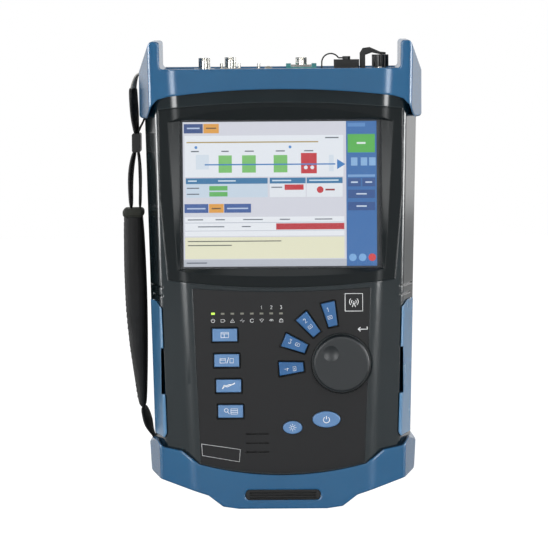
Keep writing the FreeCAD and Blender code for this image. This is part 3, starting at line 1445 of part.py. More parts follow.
strap_low = "~strap_back - ~strap_wide / 2"
strap_high = "~strap_back + ~strap_wide / 2"
loop_outer = [
    ("-~loop_in - ~strap_thick * 2", "~buckle_high + ~seat_gap"),
    ("-~loop_in", "~tail_low - ~strap_thick * 2"),
    ("-~loop_in", "~loop_bend + ~strap_thick"),
    ("-(~loop_in + ~loop_out) / 2", "~loop_top"),
    ("-~loop_out", "~loop_bend"),
    ("-~loop_out", "~tail_low"),
    ("-~loop_in - ~strap_thick * 4", "~buckle_high + ~seat_gap"),
]
loop_inner = [
    ("-~loop_in - ~strap_thick * 3", "~buckle_high + 3 * ~strap_thick"),
    ("-~loop_in - ~strap_thick", "~tail_low - ~strap_thick * 2"),
    ("-~loop_in - ~strap_thick", "~loop_bend + ~strap_thick"),
    ("-(~loop_in + ~loop_out) / 2", "~loop_top - ~strap_thick"),
    ("-~loop_out + ~strap_thick", "~loop_bend - ~strap_thick / 4"),
    ("-~loop_out + ~strap_thick", "~tail_low"),
]
node("strap_loop", cut(
    "loop_cut", slab("loop_outer", "front", loop_outer, strap_low, strap_high),
    slab("loop_inner", "front", loop_inner, "-~form_wide", "~form_wide"),
))
buckle = box(
    "buckle_block", ("-~buckle_out", "~strap_back - ~buckle_wide / 2", "~buckle_low"),
    ("~buckle_out - ~buckle_in", "~buckle_wide", "~buckle_high - ~buckle_low"),
)
node("strap_buckle", rounded("buckle_round", buckle, "strap_thick", lambda edge: runs(edge, "y")))
strand_top = "~buckle_low - ~seat_gap"
strand_foot = "~sleeve_top + ~seat_gap"
outer_strand = [
    ("-~buckle_out + ~strand_thick * 1.4", strand_top),
    ("-~buckle_out + ~strand_thick / 2", strand_top),
    ("-~strand_out", "~strand_mid"), ("-~strand_out", strand_foot),
    ("-~strand_out + ~strand_thick", strand_foot), ("-~strand_out + ~strand_thick", "~strand_mid"),
]
inner_strand = [
    ("-~buckle_in - ~strand_thick * 1.2", strand_top), ("-~buckle_in - ~strand_thick / 3", strand_top),
    ("-~strand_in", "~strand_mid"), ("-~strand_in", strand_foot),
    ("-~strand_in - ~strand_thick", strand_foot), ("-~strand_in - ~strand_thick", "~strand_mid"),
]
node("strap_strands", grouped(
    "strands", slab("outer_strand", "front", outer_strand, strap_low, strap_high),
    slab("inner_strand", "front", inner_strand, strap_low, strap_high),
))
sleeve = [
    ("-~sleeve_in", "~sleeve_low"), ("-~sleeve_in", "~sleeve_top"), ("-~sleeve_out", "~sleeve_top"),
    ("-~sleeve_out", "~sleeve_shoulder"), ("-~sleeve_belly", "~sleeve_belly_up"),
    ("-~sleeve_ankle", "~sleeve_ankle_up"), ("-~sleeve_end_out", "~sleeve_low"),
]
sleeve_block = slab(
    "sleeve_block", "front", sleeve,
    "~strap_back - ~sleeve_wide / 2", "~strap_back + ~sleeve_wide / 2",
)
node("strap_sleeve", sleeve_block)
tail_web = [
    ("-~tail_web_in", "~tail_web_low"), ("-~tail_web_in", "~tail_web_bend"),
    ("-~tail_web_out + ~strap_thick", "~sleeve_low - ~seat_gap"),
    ("-~tail_web_out", "~sleeve_low - ~seat_gap"),
    ("-~tail_web_in - ~strap_thick", "~tail_web_bend"),
    ("-~tail_web_in - ~strap_thick", "~tail_web_low"),
]
node("strap_tail", slab("tail_web", "front", tail_web, strap_low, strap_high))

# ---- Kickstand, battery cover and case screws on the back.

stand_back = "(~body_back - ~stand_sunk)"
stand_axis = "(~body_back - ~stand_sunk - ~stand_barrel)"
stand_plate = box(
    "stand_plate", ("~stand_side - ~stand_half", f"{stand_back} - ~stand_thick", "~stand_low"),
    ("2 * ~stand_half", "~stand_thick", "~stand_hinge - ~stand_low"),
)
stand_corner = rounded(
    "stand_corner", stand_plate, "strand_thick",
    lambda edge: runs(edge, "y") and edge.CenterOfMass.z < value("stand_low") + 1,
)
stand_barrel = rod(
    "stand_barrel_rod", "x", ("~stand_side - ~stand_half", stand_axis, "~stand_hinge"),
    "~stand_barrel", "2 * ~stand_half",
)
pin_start = ("~stand_side - ~stand_half - ~stand_pin_grip", stand_axis, "~stand_hinge")
stand_pin_long = "2 * (~stand_half + ~stand_pin_grip)"
stand_bore = rod("stand_bore", "x", pin_start, "~stand_pin_rad + ~pin_play", stand_pin_long)
stand_pin = rod("stand_pin_rod", "x", pin_start, "~stand_pin_rad", stand_pin_long)
stand_grooves = [
    box(f"stand_groove_{number}",
        ("~stand_side - ~stand_half + 2 * ~stand_thick", f"{stand_back} - ~stand_thick / 3",
         f"~stand_low + ({number} + 1) * (~stand_hinge - ~stand_low) / (~stand_ribs + 1)"),
        ("2 * ~stand_half - 4 * ~stand_thick", "~stand_thick", "~stand_thick"))
    for number in range(int(value("stand_ribs")))
]
node("kickstand", cut(
    "stand_cut", fused("stand_block", stand_corner, stand_barrel), stand_bore, *stand_grooves
))
node("kickstand_pin", stand_pin)
stand_room = box(
    "stand_room",
    ("~stand_side - ~stand_half - ~stand_gap",
     f"{stand_back} - ~stand_thick - ~stand_gap / 2", "~stand_low - ~stand_gap"),
    ("2 * (~stand_half + ~stand_gap)", "~form_wide",
     "~stand_hinge - ~stand_low + ~stand_gap"),
)
barrel_room = rod(
    "barrel_room", "x", ("~stand_side - ~stand_half - ~stand_gap", stand_axis, "~stand_hinge"),
    "~stand_barrel + ~stand_gap", "2 * (~stand_half + ~stand_gap)",
)
barrel_mouth = box(
    "barrel_mouth", ("~stand_side - ~stand_half - ~stand_gap", stand_axis, "~stand_hinge"),
    ("2 * (~stand_half + ~stand_gap)", "~form_wide", "~stand_barrel + ~stand_gap"),
)
thumb_notch = rod(
    "thumb_notch", "y", ("~stand_side", f"{stand_back} - ~stand_thick - ~stand_gap / 2", "~stand_low"),
    "~stand_notch", "~form_wide",
)

cover_left = "(~cell_left - ~cover_margin)"
cover_low = "(~cell_low - ~cover_margin)"
cover_wide = "(~cell_right - ~cell_left + 2 * ~cover_margin)"
cover_tall = "(~cell_high - ~cell_low + 2 * ~cover_margin)"
cover_plate = box(
    "cover_plate", (cover_left, "~body_back - ~cover_thick", cover_low),
    (cover_wide, "~cover_thick", cover_tall),
)
cover_screws = []
cover_bores = []
for number, high in enumerate((f"{cover_low} + ~cover_screw", f"{cover_low} + {cover_tall} - ~cover_screw")):
    at = (f"{cover_left} + {cover_wide} / 2", "~body_back - ~cover_thick / 2", high)
    cover_bores.append(rod(f"cover_bore_{number}", "y", at, "~cover_screw", "~form_wide"))
    deep_at = (at[0], "~body_back - 2 * ~cover_thick", high)
    cover_bores.append(rod(f"cover_shank_bore_{number}", "y", deep_at, "~cover_screw / 2",
                           "2 * ~cover_thick"))
    cover_screws.append(fused(
        f"cover_screw_{number}",
        rod(f"cover_head_{number}", "y", at, "~cover_screw - ~part_gap", "~cover_thick / 3"),
        rod(f"cover_shank_{number}", "y", deep_at, "~cover_screw / 2", "1.6 * ~cover_thick"),
    ))
node("battery_cover", cut("battery_cover_cut", cover_plate, *cover_bores))
cover_room = box(
    "cover_room",
    (f"{cover_left} - ~cover_gap", "~body_back - ~cover_thick", f"{cover_low} - ~cover_gap"),
    (f"{cover_wide} + 2 * ~cover_gap", "~form_wide", f"{cover_tall} + 2 * ~cover_gap"),
)
cell_mouth = box(
    "cell_mouth",
    ("~cell_left - ~seat_gap", "~cell_front", "~cell_low - ~seat_gap"),
    ("~cell_right - ~cell_left + 2 * ~seat_gap", "~form_wide",
     "~cell_high - ~cell_low + 2 * ~seat_gap"),
)

bolts = []
bolt_rooms = []
bosses = []
bolt_face = "(~body_back - ~bolt_sunk)"
for number, (side, high) in enumerate((
    ("-~bolt_side_high", "~bolt_high"), ("~bolt_side_high", "~bolt_high"),
    ("~bolt_side_left", "~bolt_low"), ("~bolt_side_right", "~bolt_low"),
)):
    head_at = (side, f"{bolt_face} - ~bolt_head_thick", high)
    shank_at = (side, f"{bolt_face} - ~bolt_head_thick - ~bolt_long", high)
    bolts.append(cut(
        f"bolt_{number}",
        fused(f"bolt_whole_{number}",
              rod(f"bolt_head_{number}", "y", head_at, "~bolt_head", "~bolt_head_thick"),
              rod(f"bolt_shank_{number}", "y", shank_at, "~bolt_shank", "~bolt_long")),
        rod(f"bolt_key_{number}", "y", (side, f"{bolt_face} - ~socket_deep", high), "~socket_key",
            "~bolt_long"),
    ))
    bolt_rooms.append(rod(f"bolt_room_{number}", "y", head_at, "~bolt_head + ~part_gap",
                          "~form_wide"))
    bolt_rooms.append(rod(f"bolt_bore_{number}", "y", shank_at, "~bolt_shank", "~form_wide"))
    bosses.append(rod(
        f"boss_{number}", "y", (side, "-~plate_front + ~plate_thick", high), "~bolt_boss",
        "~plate_front - ~plate_thick + ~body_back - ~rear_wall / 2",
    ))
node("case_screws", grouped("bolts", *bolts, *cover_screws))

# ---- Shells.

groove_core = column("groove_core", "-~groove_deep")
side_grooves = []
for number in range(2):
    for sign in (-1, 1):
        side_grooves.append(cut(
            f"side_groove_{number}_{'right' if sign > 0 else 'left'}",
            box(f"side_groove_box_{number}_{'right' if sign > 0 else 'left'}",
                (f"{sign} * ~groove_start - (1 - {sign}) / 2 * ~form_wide", "-~form_wide",
                 f"~groove_high - {number} * ~groove_pitch"),
                ("~form_wide", "~form_wide + ~split_back", "~groove_wide")),
            groove_core,
        ))
door_cuts = right_cuts + [mirror(f"left_{item.Name}", item) for item in right_cuts]
posts = [
    rod(f"post_{number}", "y", (side, "-~body_front + ~shell_wall * 1.6", high), "~post_radius",
        "~body_front - ~shell_wall * 1.6 - ~plate_front")
    for number, (side, high) in enumerate((
        ("-~post_side_high", "~post_high"), ("~post_side_high", "~post_high"),
        ("-~post_side_low", "~post_low"), ("~post_side_low", "~post_low"),
    ))
]
backings = [hinge_backing, mirror("left_hinge_backing", hinge_backing)]
front_walls = cut("front_walls", common("front_body", body_solid, front_half), hollow)
grooved_walls = cut("grooved_walls", front_walls, *side_grooves)
front_block = fused("front_block", grooved_walls, *posts, *pad_posts, *backings)
node("front_shell", cut(
    "front_shell_cut", front_block, frame_pocket, rim_pocket, film_pocket, well, shaft_hole,
    bay_room, *key_holes, *lamp_holes, *slots, *door_cuts, *left_holes, dc_hole,
))
rear_walls = cut("rear_walls", common("rear_body", body_solid, rear_half), hollow)
rear_block = fused("rear_block", rear_walls, *bosses)
node("rear_shell", cut(
    "rear_shell_cut", rear_block, bay_room, strap_channel, stand_room, barrel_room,
    barrel_mouth, thumb_notch, stand_pin, cover_room, cell_mouth, *cover_bores, *bolt_rooms,
))


# ---- Hand the nodes in, after checking every step of the model.

doc.recompute()
for item in doc.Objects:
    if {"Invalid", "Error"} & set(item.State):
        raise RuntimeError(f"{item.Label} failed: {item.State}")
os.makedirs("parts", exist_ok=True)
for name, item in nodes.items():
    if item.Shape.isNull() or not item.Shape.isValid():
        raise RuntimeError(f"{name} has no valid shape")
    item.Shape.exportStep(f"parts/{name}.step")
print(len(nodes), "nodes")
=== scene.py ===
import math

import bpy
from mathutils import Matrix, Quaternion, Vector
from mathutils.geometry import convex_hull_2d


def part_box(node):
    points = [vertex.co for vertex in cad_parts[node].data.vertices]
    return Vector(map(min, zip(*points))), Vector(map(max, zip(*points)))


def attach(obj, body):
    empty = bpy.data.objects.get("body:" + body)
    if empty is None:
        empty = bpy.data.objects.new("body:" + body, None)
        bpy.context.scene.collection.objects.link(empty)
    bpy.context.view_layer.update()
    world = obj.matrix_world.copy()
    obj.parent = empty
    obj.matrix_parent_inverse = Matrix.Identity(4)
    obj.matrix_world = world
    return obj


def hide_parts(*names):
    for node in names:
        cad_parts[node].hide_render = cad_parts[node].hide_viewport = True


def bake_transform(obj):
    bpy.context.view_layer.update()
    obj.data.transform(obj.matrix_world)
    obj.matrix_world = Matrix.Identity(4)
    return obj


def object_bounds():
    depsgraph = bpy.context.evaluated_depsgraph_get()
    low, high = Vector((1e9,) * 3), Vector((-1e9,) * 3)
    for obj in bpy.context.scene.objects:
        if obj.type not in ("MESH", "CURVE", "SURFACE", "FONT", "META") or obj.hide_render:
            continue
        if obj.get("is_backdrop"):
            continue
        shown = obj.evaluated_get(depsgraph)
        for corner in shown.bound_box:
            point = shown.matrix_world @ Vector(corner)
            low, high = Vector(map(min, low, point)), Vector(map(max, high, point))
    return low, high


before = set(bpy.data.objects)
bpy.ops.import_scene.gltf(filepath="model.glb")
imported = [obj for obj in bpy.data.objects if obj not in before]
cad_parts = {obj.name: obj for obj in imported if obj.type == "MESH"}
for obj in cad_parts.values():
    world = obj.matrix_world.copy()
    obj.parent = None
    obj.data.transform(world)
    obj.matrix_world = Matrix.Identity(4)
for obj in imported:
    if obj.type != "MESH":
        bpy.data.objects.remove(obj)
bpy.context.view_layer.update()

# Camera: a long lens just above the tester's top, looking down on its front by four degrees.
# It is turned by fractions of a degree, because the tester stands slightly askew to it.
camera_data = bpy.data.cameras.new("camera")
camera_data.sensor_width = 36
camera_data.lens = 269
camera = bpy.data.objects.new("camera", camera_data)
bpy.context.scene.collection.objects.link(camera)
bpy.context.scene.camera = camera
camera_aim = (-0.0051, -0.04, 0.1610)
camera_reach = 2.80
camera_rise = math.radians(4.0)
camera_side = math.radians(0.25)
camera_roll = math.radians(-0.43)
camera.location = (
    camera_aim[0] + camera_reach * math.sin(camera_side) * math.cos(camera_rise),
    camera_aim[1] - camera_reach * math.cos(camera_side) * math.cos(camera_rise),
    camera_aim[2] + camera_reach * math.sin(camera_rise),
)
camera.rotation_mode = "QUATERNION"
camera.rotation_quaternion = (
    (Vector(camera_aim) - camera.location).to_track_quat("-Z", "Y")
    @ Quaternion((0, 0, 1), camera_roll)
)
bpy.context.scene.view_settings.view_transform = "Standard"

# Lamps: tall soft strips seen only as gloss on the plastic, matt fills that only light it, and
# one lamp above for both. All of them point at the middle of the tester.
lamp_aim = Vector((0, 0, 0.16))
for lamp_name, lamp_place, lamp_size, lamp_power, in_gloss, in_matt in (
    ("strip_left", (-0.92, -1.89, 0.35), (0.62, 1.8), 46, True, False),
    ("strip_right", (0.92, -1.89, 0.35), (0.62, 1.8), 46, True, False),
    ("edge_left", (-1.75, 0.15, 0.4), (0.8, 1.7), 66, True, False),
    ("edge_right", (1.75, 0.15, 0.4), (0.8, 1.7), 66, True, False),
    ("front_fill", (0.0, -2.2, 0.5), (1.6, 1.0), 13, False, True),
    ("side_fill_left", (-1.8, -0.7, 0.5), (0.9, 1.0), 9, False, True),
    ("side_fill_right", (1.8, -0.7, 0.5), (0.9, 1.0), 9, False, True),
    ("lamp_top", (0.0, -0.8, 1.6), (1.4, 0.8), 9, True, True),
):
    lamp_data = bpy.data.lights.new(lamp_name, "AREA")
    lamp_data.shape = "RECTANGLE"
    lamp_data.size, lamp_data.size_y = lamp_size
    lamp_data.energy = lamp_power
    lamp = bpy.data.objects.new(lamp_name, lamp_data)
    lamp.location = lamp_place
    lamp.rotation_euler = (lamp_aim - lamp.location).to_track_quat("-Z", "Y").to_euler()
    lamp.visible_glossy = in_gloss
    lamp.visible_diffuse = in_matt
    bpy.context.scene.collection.objects.link(lamp)

# World: white to the camera, through glass and in gloss that looks behind the tester, as a pale
# studio is, and a low even light from everywhere else.

def linear(hex_colour):
    """An sRGB hex colour as the linear colour a shader wants."""
    parts = [int(hex_colour[n:n + 2], 16) / 255 for n in (1, 3, 5)]
    return [p / 12.92 if p <= 0.04045 else ((p + 0.055) / 1.055) ** 2.4 for p in parts] + [1]


def add(tree, kind, links=None, **settings):
    """Adds a node, sets its settings, and links or sets its sockets."""
    node = tree.nodes.new("ShaderNode" + kind)
    for name, value in settings.items():
        setattr(node, name, value)
    for name, value in (links or {}).items():
        socket = node.inputs[name]
        if isinstance(value, bpy.types.NodeSocket):
            tree.links.new(value, socket)
        else:
            socket.default_value = value
    return node


front_heading = -0.3
side_heading = 0.0
front_gloss = 0.16
room_light = 0.3
world = bpy.data.worlds.new("studio")
bpy.context.scene.world = world
world.use_nodes = True
world_tree = world.node_tree
sky = world_tree.nodes["Background"]
ray = add(world_tree, "LightPath")
heading = add(world_tree, "SeparateXYZ", {0: add(world_tree, "TexCoord").outputs["Generated"]})
front = add(world_tree, "MapRange", {"Value": heading.outputs["Y"],
                                     "From Min": front_heading, "From Max": side_heading,
                                     "To Min": front_gloss, "To Max": 1.0})
soft = add(world_tree, "Math", {0: ray.outputs["Is Glossy Ray"], 1: front.outputs[0]},
           operation="MULTIPLY")
seen = add(world_tree, "Math", {0: ray.outputs["Is Camera Ray"], 1: soft.outputs[0]},
           operation="MAXIMUM")
seen = add(world_tree, "Math", {0: seen.outputs[0], 1: ray.outputs["Is Transmission Ray"]},
           operation="MAXIMUM")
bright = add(world_tree, "Math", {0: seen.outputs[0], 1: room_light}, operation="MAXIMUM")
sky.inputs["Color"].default_value = linear("#ffffff")
world_tree.links.new(bright.outputs[0], sky.inputs["Strength"])

# Floor: a sheet of white studio paper that glows to the camera, so that it shows no edge.
# The lamps light the rest of it, and keep a faint shadow under the foot.

def finish(name, colour, roughness, **sockets):
    """A new material, with these values on the sockets of its Principled shader."""
    material = bpy.data.materials.new(name)
    material.use_nodes = True
    shader = material.node_tree.nodes["Principled BSDF"]
    shader.inputs["Base Color"].default_value = linear(colour)
    shader.inputs["Roughness"].default_value = roughness
    for socket, value in sockets.items():
        shader.inputs[socket.replace("_", " ")].default_value = value
    add(material.node_tree, "TexCoord", name="place")
    return material


def shading(material):
    """A material's node tree, its Principled shader and its object coordinates."""
    tree = material.node_tree
    return tree, tree.nodes["Principled BSDF"], tree.nodes["place"].outputs["Object"]


bpy.ops.object.select_all(action="DESELECT")
bpy.ops.mesh.primitive_plane_add(size=6, location=(0, 0, 0))
floor = bpy.context.object
floor.name = "floor"
studio_paper = finish("studio_paper", "#fbfbfb", 0.9)
paper_glow = 1.2
glow_share = 0.85
tree, shader, place = shading(studio_paper)
ray = add(tree, "LightPath")
glow = add(tree, "Emission", {"Color": linear("#ffffff"), "Strength": paper_glow})
share = add(tree, "Math", {0: ray.outputs["Is Camera Ray"], 1: glow_share},
            operation="MULTIPLY")
mixed = add(tree, "MixShader", {0: share.outputs[0], 1: shader.outputs[0], 2: glow.outputs[0]})
tree.links.new(mixed.outputs[0], tree.nodes["Material Output"].inputs["Surface"])
floor.data.materials.append(studio_paper)
floor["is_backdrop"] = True

# Shells, battery cover and kickstand: charcoal glass-filled ABS, injection moulded with a fine
# spark-eroded texture that scatters a soft sheen and hides the mould flow. Moulded textures are
# drawn two or three times as coarse as real ones here, so that they show.

def dress(material, *nodes):
    """Gives a material to CAD nodes."""
    for name in nodes:
        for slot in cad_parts[name].material_slots:
            slot.material = material


def tinted(material, scale, detail, dark, pale):
    """Lets the colour drift between two, in clouds about 1 / scale metres across."""
    tree, shader, place = shading(material)
    haze = add(tree, "TexNoise", {"Vector": place, "Scale": scale, "Detail": detail})
    tint = add(tree, "Mix", {0: haze.outputs["Fac"], 6: linear(dark), 7: linear(pale)},
               data_type="RGBA")
    tree.links.new(tint.outputs[2], shader.inputs["Base Color"])


def worn(material, scale, detail, smooth, dull, start=0.0, stop=1.0):
    """Lets the roughness drift between two values, in clouds about 1 / scale metres across."""
    tree, shader, place = shading(material)
    haze = add(tree, "TexNoise", {"Vector": place, "Scale": scale, "Detail": detail})
    rough = add(tree, "MapRange", {"Value": haze.outputs["Fac"], "From Min": start,
                                   "From Max": stop, "To Min": smooth, "To Max": dull})
    tree.links.new(rough.outputs[0], shader.inputs["Roughness"])


def grained(material, scale, detail, strength, depth=0.0001, fine=0.5, radius=0.0, samples=6):
    """Gives a grain about 1 / scale metres across, over edges that the light sees rounded."""
    tree, shader, place = shading(material)
    grain = add(tree, "TexNoise", {"Vector": place, "Scale": scale, "Detail": detail,
                                   "Roughness": fine})
    bump = add(tree, "Bump", {"Height": grain.outputs["Fac"], "Strength": strength,
                              "Distance": depth})
    if radius:
        edge = add(tree, "Bevel", {"Radius": radius}, samples=samples)
        tree.links.new(edge.outputs[0], bump.inputs["Normal"])
    tree.links.new(bump.outputs[0], shader.inputs["Normal"])


charcoal_abs = finish("moulded_charcoal_abs", "#262c2f", 0.2)
worn(charcoal_abs, 22, 3, 0.13, 0.17, 0.3, 0.7)
tinted(charcoal_abs, 22, 3, "#0b181c", "#111f24")
grained(charcoal_abs, 1500, 2, 0.04, fine=0.6, radius=0.0012)
dress(charcoal_abs, "front_shell", "rear_shell", "kickstand", "battery_cover")

# Bumpers: satin blue thermoplastic rubber, moulded to slip over the shells' ends.
# Rubber keeps a soft wide highlight, and its edges look well rounded.
blue_rubber = finish("moulded_blue_rubber", "#35628c", 0.24)
tinted(blue_rubber, 30, 4, "#04507b", "#0b5985")
grained(blue_rubber, 1800, 1, 0.15, radius=0.0022, samples=8)
dress(blue_rubber, "top_bumper", "bottom_bumper")

# Side doors: the same rubber in a lighter, glossier grade, each moulded with its hinge ears.
# The ears turn on nickel-plated pins along the shells' parting plane.
door_rubber = finish("glossy_blue_rubber", "#437ba6", 0.2)
worn(door_rubber, 40, 3, 0.18, 0.28, 0.3, 0.7)
door_edge = 0.0008
tree, shader, place = shading(door_rubber)
edge = add(tree, "Bevel", {"Radius": door_edge}, samples=6)
tree.links.new(edge.outputs[0], shader.inputs["Normal"])
dress(door_rubber, "left_door", "right_door")

# Keys and oval buttons: blue silicone rubber, coloured right through, each moulded with a flange
# that keeps it behind the shell's wall. The function keys are a deeper blue.
key_edge = 0.0006


def silicone(name, colour, roughness, specular, dark, pale):
    """A moulded silicone rubber, with its edges rounded for the light."""
    rubber = finish(name, colour, roughness, Specular_IOR_Level=specular)
    tinted(rubber, 160, 3, dark, pale)
    tree, shader, place = shading(rubber)
    edge = add(tree, "Bevel", {"Radius": key_edge}, samples=6)
    tree.links.new(edge.outputs[0], shader.inputs["Normal"])
    return rubber


key_rubber = silicone("blue_silicone", "#5f87ba", 0.34, 0.5, "#4b78a8", "#5886b8")
dress(key_rubber, "left_key_1", "left_key_2", "left_key_3", "left_key_4", "power_button",
      "backlight_button")
function_rubber = silicone("dark_blue_silicone", "#336599", 0.3, 0.25, "#2c5d90", "#396b9f")
dress(function_rubber, "function_key_1", "function_key_2", "function_key_3", "function_key_4")

# Dial: moulded in the shells' charcoal ABS, with a finger dimple in its face.
# Its texture is finer than the shells', so that a fingertip slides in the dimple.
dial_abs = finish("moulded_dial_abs", "#10171b", 0.4, Specular_IOR_Level=0.35)
grained(dial_abs, 2400, 2, 0.1)
dress(dial_abs, "dial")

# Keypad film and screen frame: a printed polycarbonate film with a fine matt coat, and the black
# moulded frame around the touch glass.
matt_film = finish("matt_polycarbonate_film", "#161719", 0.4, Specular_IOR_Level=0.2)
grained(matt_film, 3000, 1, 0.2, depth=0.00005)
dress(matt_film, "keypad_film")
frame_abs = finish("moulded_black_abs", "#12181a", 0.26, Specular_IOR_Level=0.15)
grained(frame_abs, 1500, 2, 0.15, radius=0.0008)
dress(frame_abs, "screen_frame")

# Metal parts: nickel-plated ports, screws, pins and sockets with an uneven rubbed gloss, brushed
# aluminium sheet for the module cases and plates, and the third port's teal flange.
nickel = finish("nickel_plated_brass", "#c3c1ba", 0.22, Metallic=1.0)
worn(nickel, 700, 3, 0.14, 0.34)
dress(nickel, "fibre_ports", "meter_port", "case_screws", "module_screws", "network_socket",
      "serial_bus_sockets", "dial_shaft", "door_pins", "kickstand_pin")
sheet_metal = finish("brushed_aluminium_sheet", "#9fa2a4", 0.38, Metallic=1.0)
brush_lines = (60, 2500, 2500)
tree, shader, place = shading(sheet_metal)
stretch = add(tree, "Mapping", {"Vector": place, "Scale": brush_lines})
brush = add(tree, "TexNoise", {"Vector": stretch.outputs[0], "Scale": 1.0, "Detail": 3})
rough = add(tree, "MapRange", {"Value": brush.outputs["Fac"], "To Min": 0.25, "To Max": 0.5})
tree.links.new(rough.outputs[0], shader.inputs["Roughness"])
dress(sheet_metal, "module_cases", "module_faces", "chassis_plate", "top_panel")
teal_metal = finish("teal_anodised_zinc", "#1f7f80", 0.35)
worn(teal_metal, 500, 2, 0.25, 0.45)
dress(teal_metal, "port_flange")

# Black parts: moulded nylon for caps, sockets, chips and battery, and softer black rubber for the
# strap's buckle, the ribbed rail in the bottom bumper and the source port's cap.
black_nylon = finish("black_nylon", "#0f1012", 0.35, Specular_IOR_Level=0.35)
grained(black_nylon, 1200, 2, 0.2, radius=0.0004, samples=4)
dress(black_nylon, "meter_cap", "source_port", "processor", "speaker", "power_jack",
      "encoder_body", "encoder_carriage", "battery_pack")
black_rubber = finish("black_rubber", "#0b0d0e", 0.45, Specular_IOR_Level=0.25)
grained(black_rubber, 900, 2, 0.2, radius=0.0004, samples=4)
dress(black_rubber, "strap_buckle", "bumper_rail", "source_cap")

# Circuit boards and light pipes: boards coated with green solder mask, and moulded acrylic pipes
# for the lamps. Only the power lamp is lit.
green_board = finish("solder_mask_green", "#14452c", 0.35)
tinted(green_board, 250, 2, "#103c26", "#1a5236")
dress(green_board, "main_board", "keypad_board", "module_boards")
lit_lamp = finish("lit_light_pipe", "#b9e84a", 0.3, Emission_Strength=0.6,
                  Emission_Color=linear("#b9e84a"))
tinted(lit_lamp, 500, 2, "#a9dc3c", "#c9f45c")
dress(lit_lamp, "power_lamp")
clear_lamp = finish("clear_light_pipe", "#77776d", 0.25)
tinted(clear_lamp, 500, 2, "#6b6b62", "#8a8a80")
dress(clear_lamp, "status_lamps", "module_lamp")

# Cap strap and tether: black rubber, moulded in one with their posts. Each is a copy of its CAD
# piece, cut finer and shaded smooth, that stays where the CAD piece stood.
bend_cuts = 3


def pick(piece):
    """Makes a piece the only one selected, and the active one."""
    bpy.ops.object.select_all(action="DESELECT")
    piece.select_set(True)
    bpy.context.view_layer.objects.active = piece


for rubber_name, rubber_node, cap_body, post_end, cap_end in (
    ("bending_cap_strap", "meter_cap_strap", "meter_cap", 0.0575, 0.0640),
    ("bending_tether", "source_cap_tether", "source_cap", 0.0300, 0.0425),
):
    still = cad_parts[rubber_node]
    rubber = bpy.data.objects.new(rubber_name, still.data.copy())
    bpy.context.scene.collection.objects.link(rubber)
    rubber.data.transform(still.matrix_world)
    pick(rubber)
    bpy.ops.object.mode_set(mode="EDIT")
    bpy.ops.mesh.select_all(action="SELECT")
    bpy.ops.mesh.remove_doubles(threshold=0.00001)
    bpy.ops.mesh.subdivide(number_cuts=bend_cuts)
    bpy.ops.object.mode_set(mode="OBJECT")
    bpy.ops.object.shade_smooth_by_angle(angle=math.radians(35))
    rubber.data.materials.clear()
    rubber.data.materials.append(black_rubber)
    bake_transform(rubber)
    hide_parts(rubber_node)

# Touch glass and the display behind it: float glass that mirrors only from its outer side, so
# that the display is seen at any slant, and the display's can of black-painted rolled steel.
touch_glass = finish("touch_glass", "#ffffff", 0.05)
glass_index = 1.45
tree, shader, place = shading(touch_glass)
clear = add(tree, "BsdfTransparent", {"Color": linear("#f6f8fa")})
shine = add(tree, "BsdfGlossy", {"Color": linear("#ffffff"), "Roughness": 0.06})
mirror = add(tree, "Fresnel", {"IOR": glass_index})
outer = add(tree, "Math", {0: 1.0, 1: add(tree, "NewGeometry").outputs["Backfacing"]},
            operation="SUBTRACT")
share = add(tree, "Math", {0: mirror.outputs[0], 1: outer.outputs[0]}, operation="MULTIPLY")
mixed = add(tree, "MixShader", {0: share.outputs[0], 1: clear.outputs[0], 2: shine.outputs[0]})
tree.links.new(mixed.outputs[0], tree.nodes["Material Output"].inputs["Surface"])
dress(touch_glass, "touch_glass")
display_can = finish("display_can", "#101113", 0.5)
grained(display_can, 60, 3, 0.2, depth=0.0002)
dress(display_can, "display_module")

# Display picture: the light of a colour panel, drawn as a plain trace screen with tabs, a graph
# of the fibre with its events, tables and a column of buttons. It carries no words. Its areas lie
# in thin layers, and each is given as left, top, width and height in millimetres.
picture_left = -0.0669
picture_top = 0.2650
picture_deep = -0.03356
picture_layer = 0.00004
lit_colours = {}


def lit(colour):
    """The material of one lit colour, with rows three times as coarse as a real panel's."""
    if colour not in lit_colours:
        panel = finish("lit_pixels_" + colour[1:], "#050505", 0.5, Emission_Color=linear(colour))
        tree, shader, place = shading(panel)
        rows = add(tree, "TexWave", {"Vector": place, "Scale": 500}, bands_direction="Z")
        level = add(tree, "MapRange", {"Value": rows.outputs["Fac"], "To Min": 0.86,
                                       "To Max": 0.98})
        tree.links.new(level.outputs[0], shader.inputs["Emission Strength"])
        lit_colours[colour] = panel
    return lit_colours[colour]


def joined(name, pieces):
    """Joins pieces into one object at the origin."""
    bpy.ops.object.select_all(action="DESELECT")
    for piece in pieces:
        piece.select_set(True)
    bpy.context.view_layer.objects.active = pieces[0]
    if len(pieces) > 1:
        bpy.ops.object.join()
    bpy.ops.object.transform_apply(location=True, rotation=True, scale=True)
    whole = bpy.context.object
    whole.name = name
    return whole


def patch(left, top, wide, tall, layer, colour, sides=4):
    """One coloured area, in millimetres from the picture's top left corner."""
    bpy.ops.object.select_all(action="DESELECT")
    bpy.ops.mesh.primitive_circle_add(
        vertices=sides, radius=math.sqrt(0.5) if sides == 4 else 0.5, fill_type="NGON",
        location=(picture_left + (left + wide / 2) / 1000, picture_deep - layer * picture_layer,
                  picture_top - (top + tall / 2) / 1000),
        rotation=(math.pi / 2, 0, 0),
    )
    piece = bpy.context.object
    if sides == 4:
        piece.data.transform(Matrix.Rotation(math.pi / 4, 4, "Z"))
    piece.scale = (wide / 1000, tall / 1000, 1)
    piece.data.materials.append(lit(colour))
    return piece


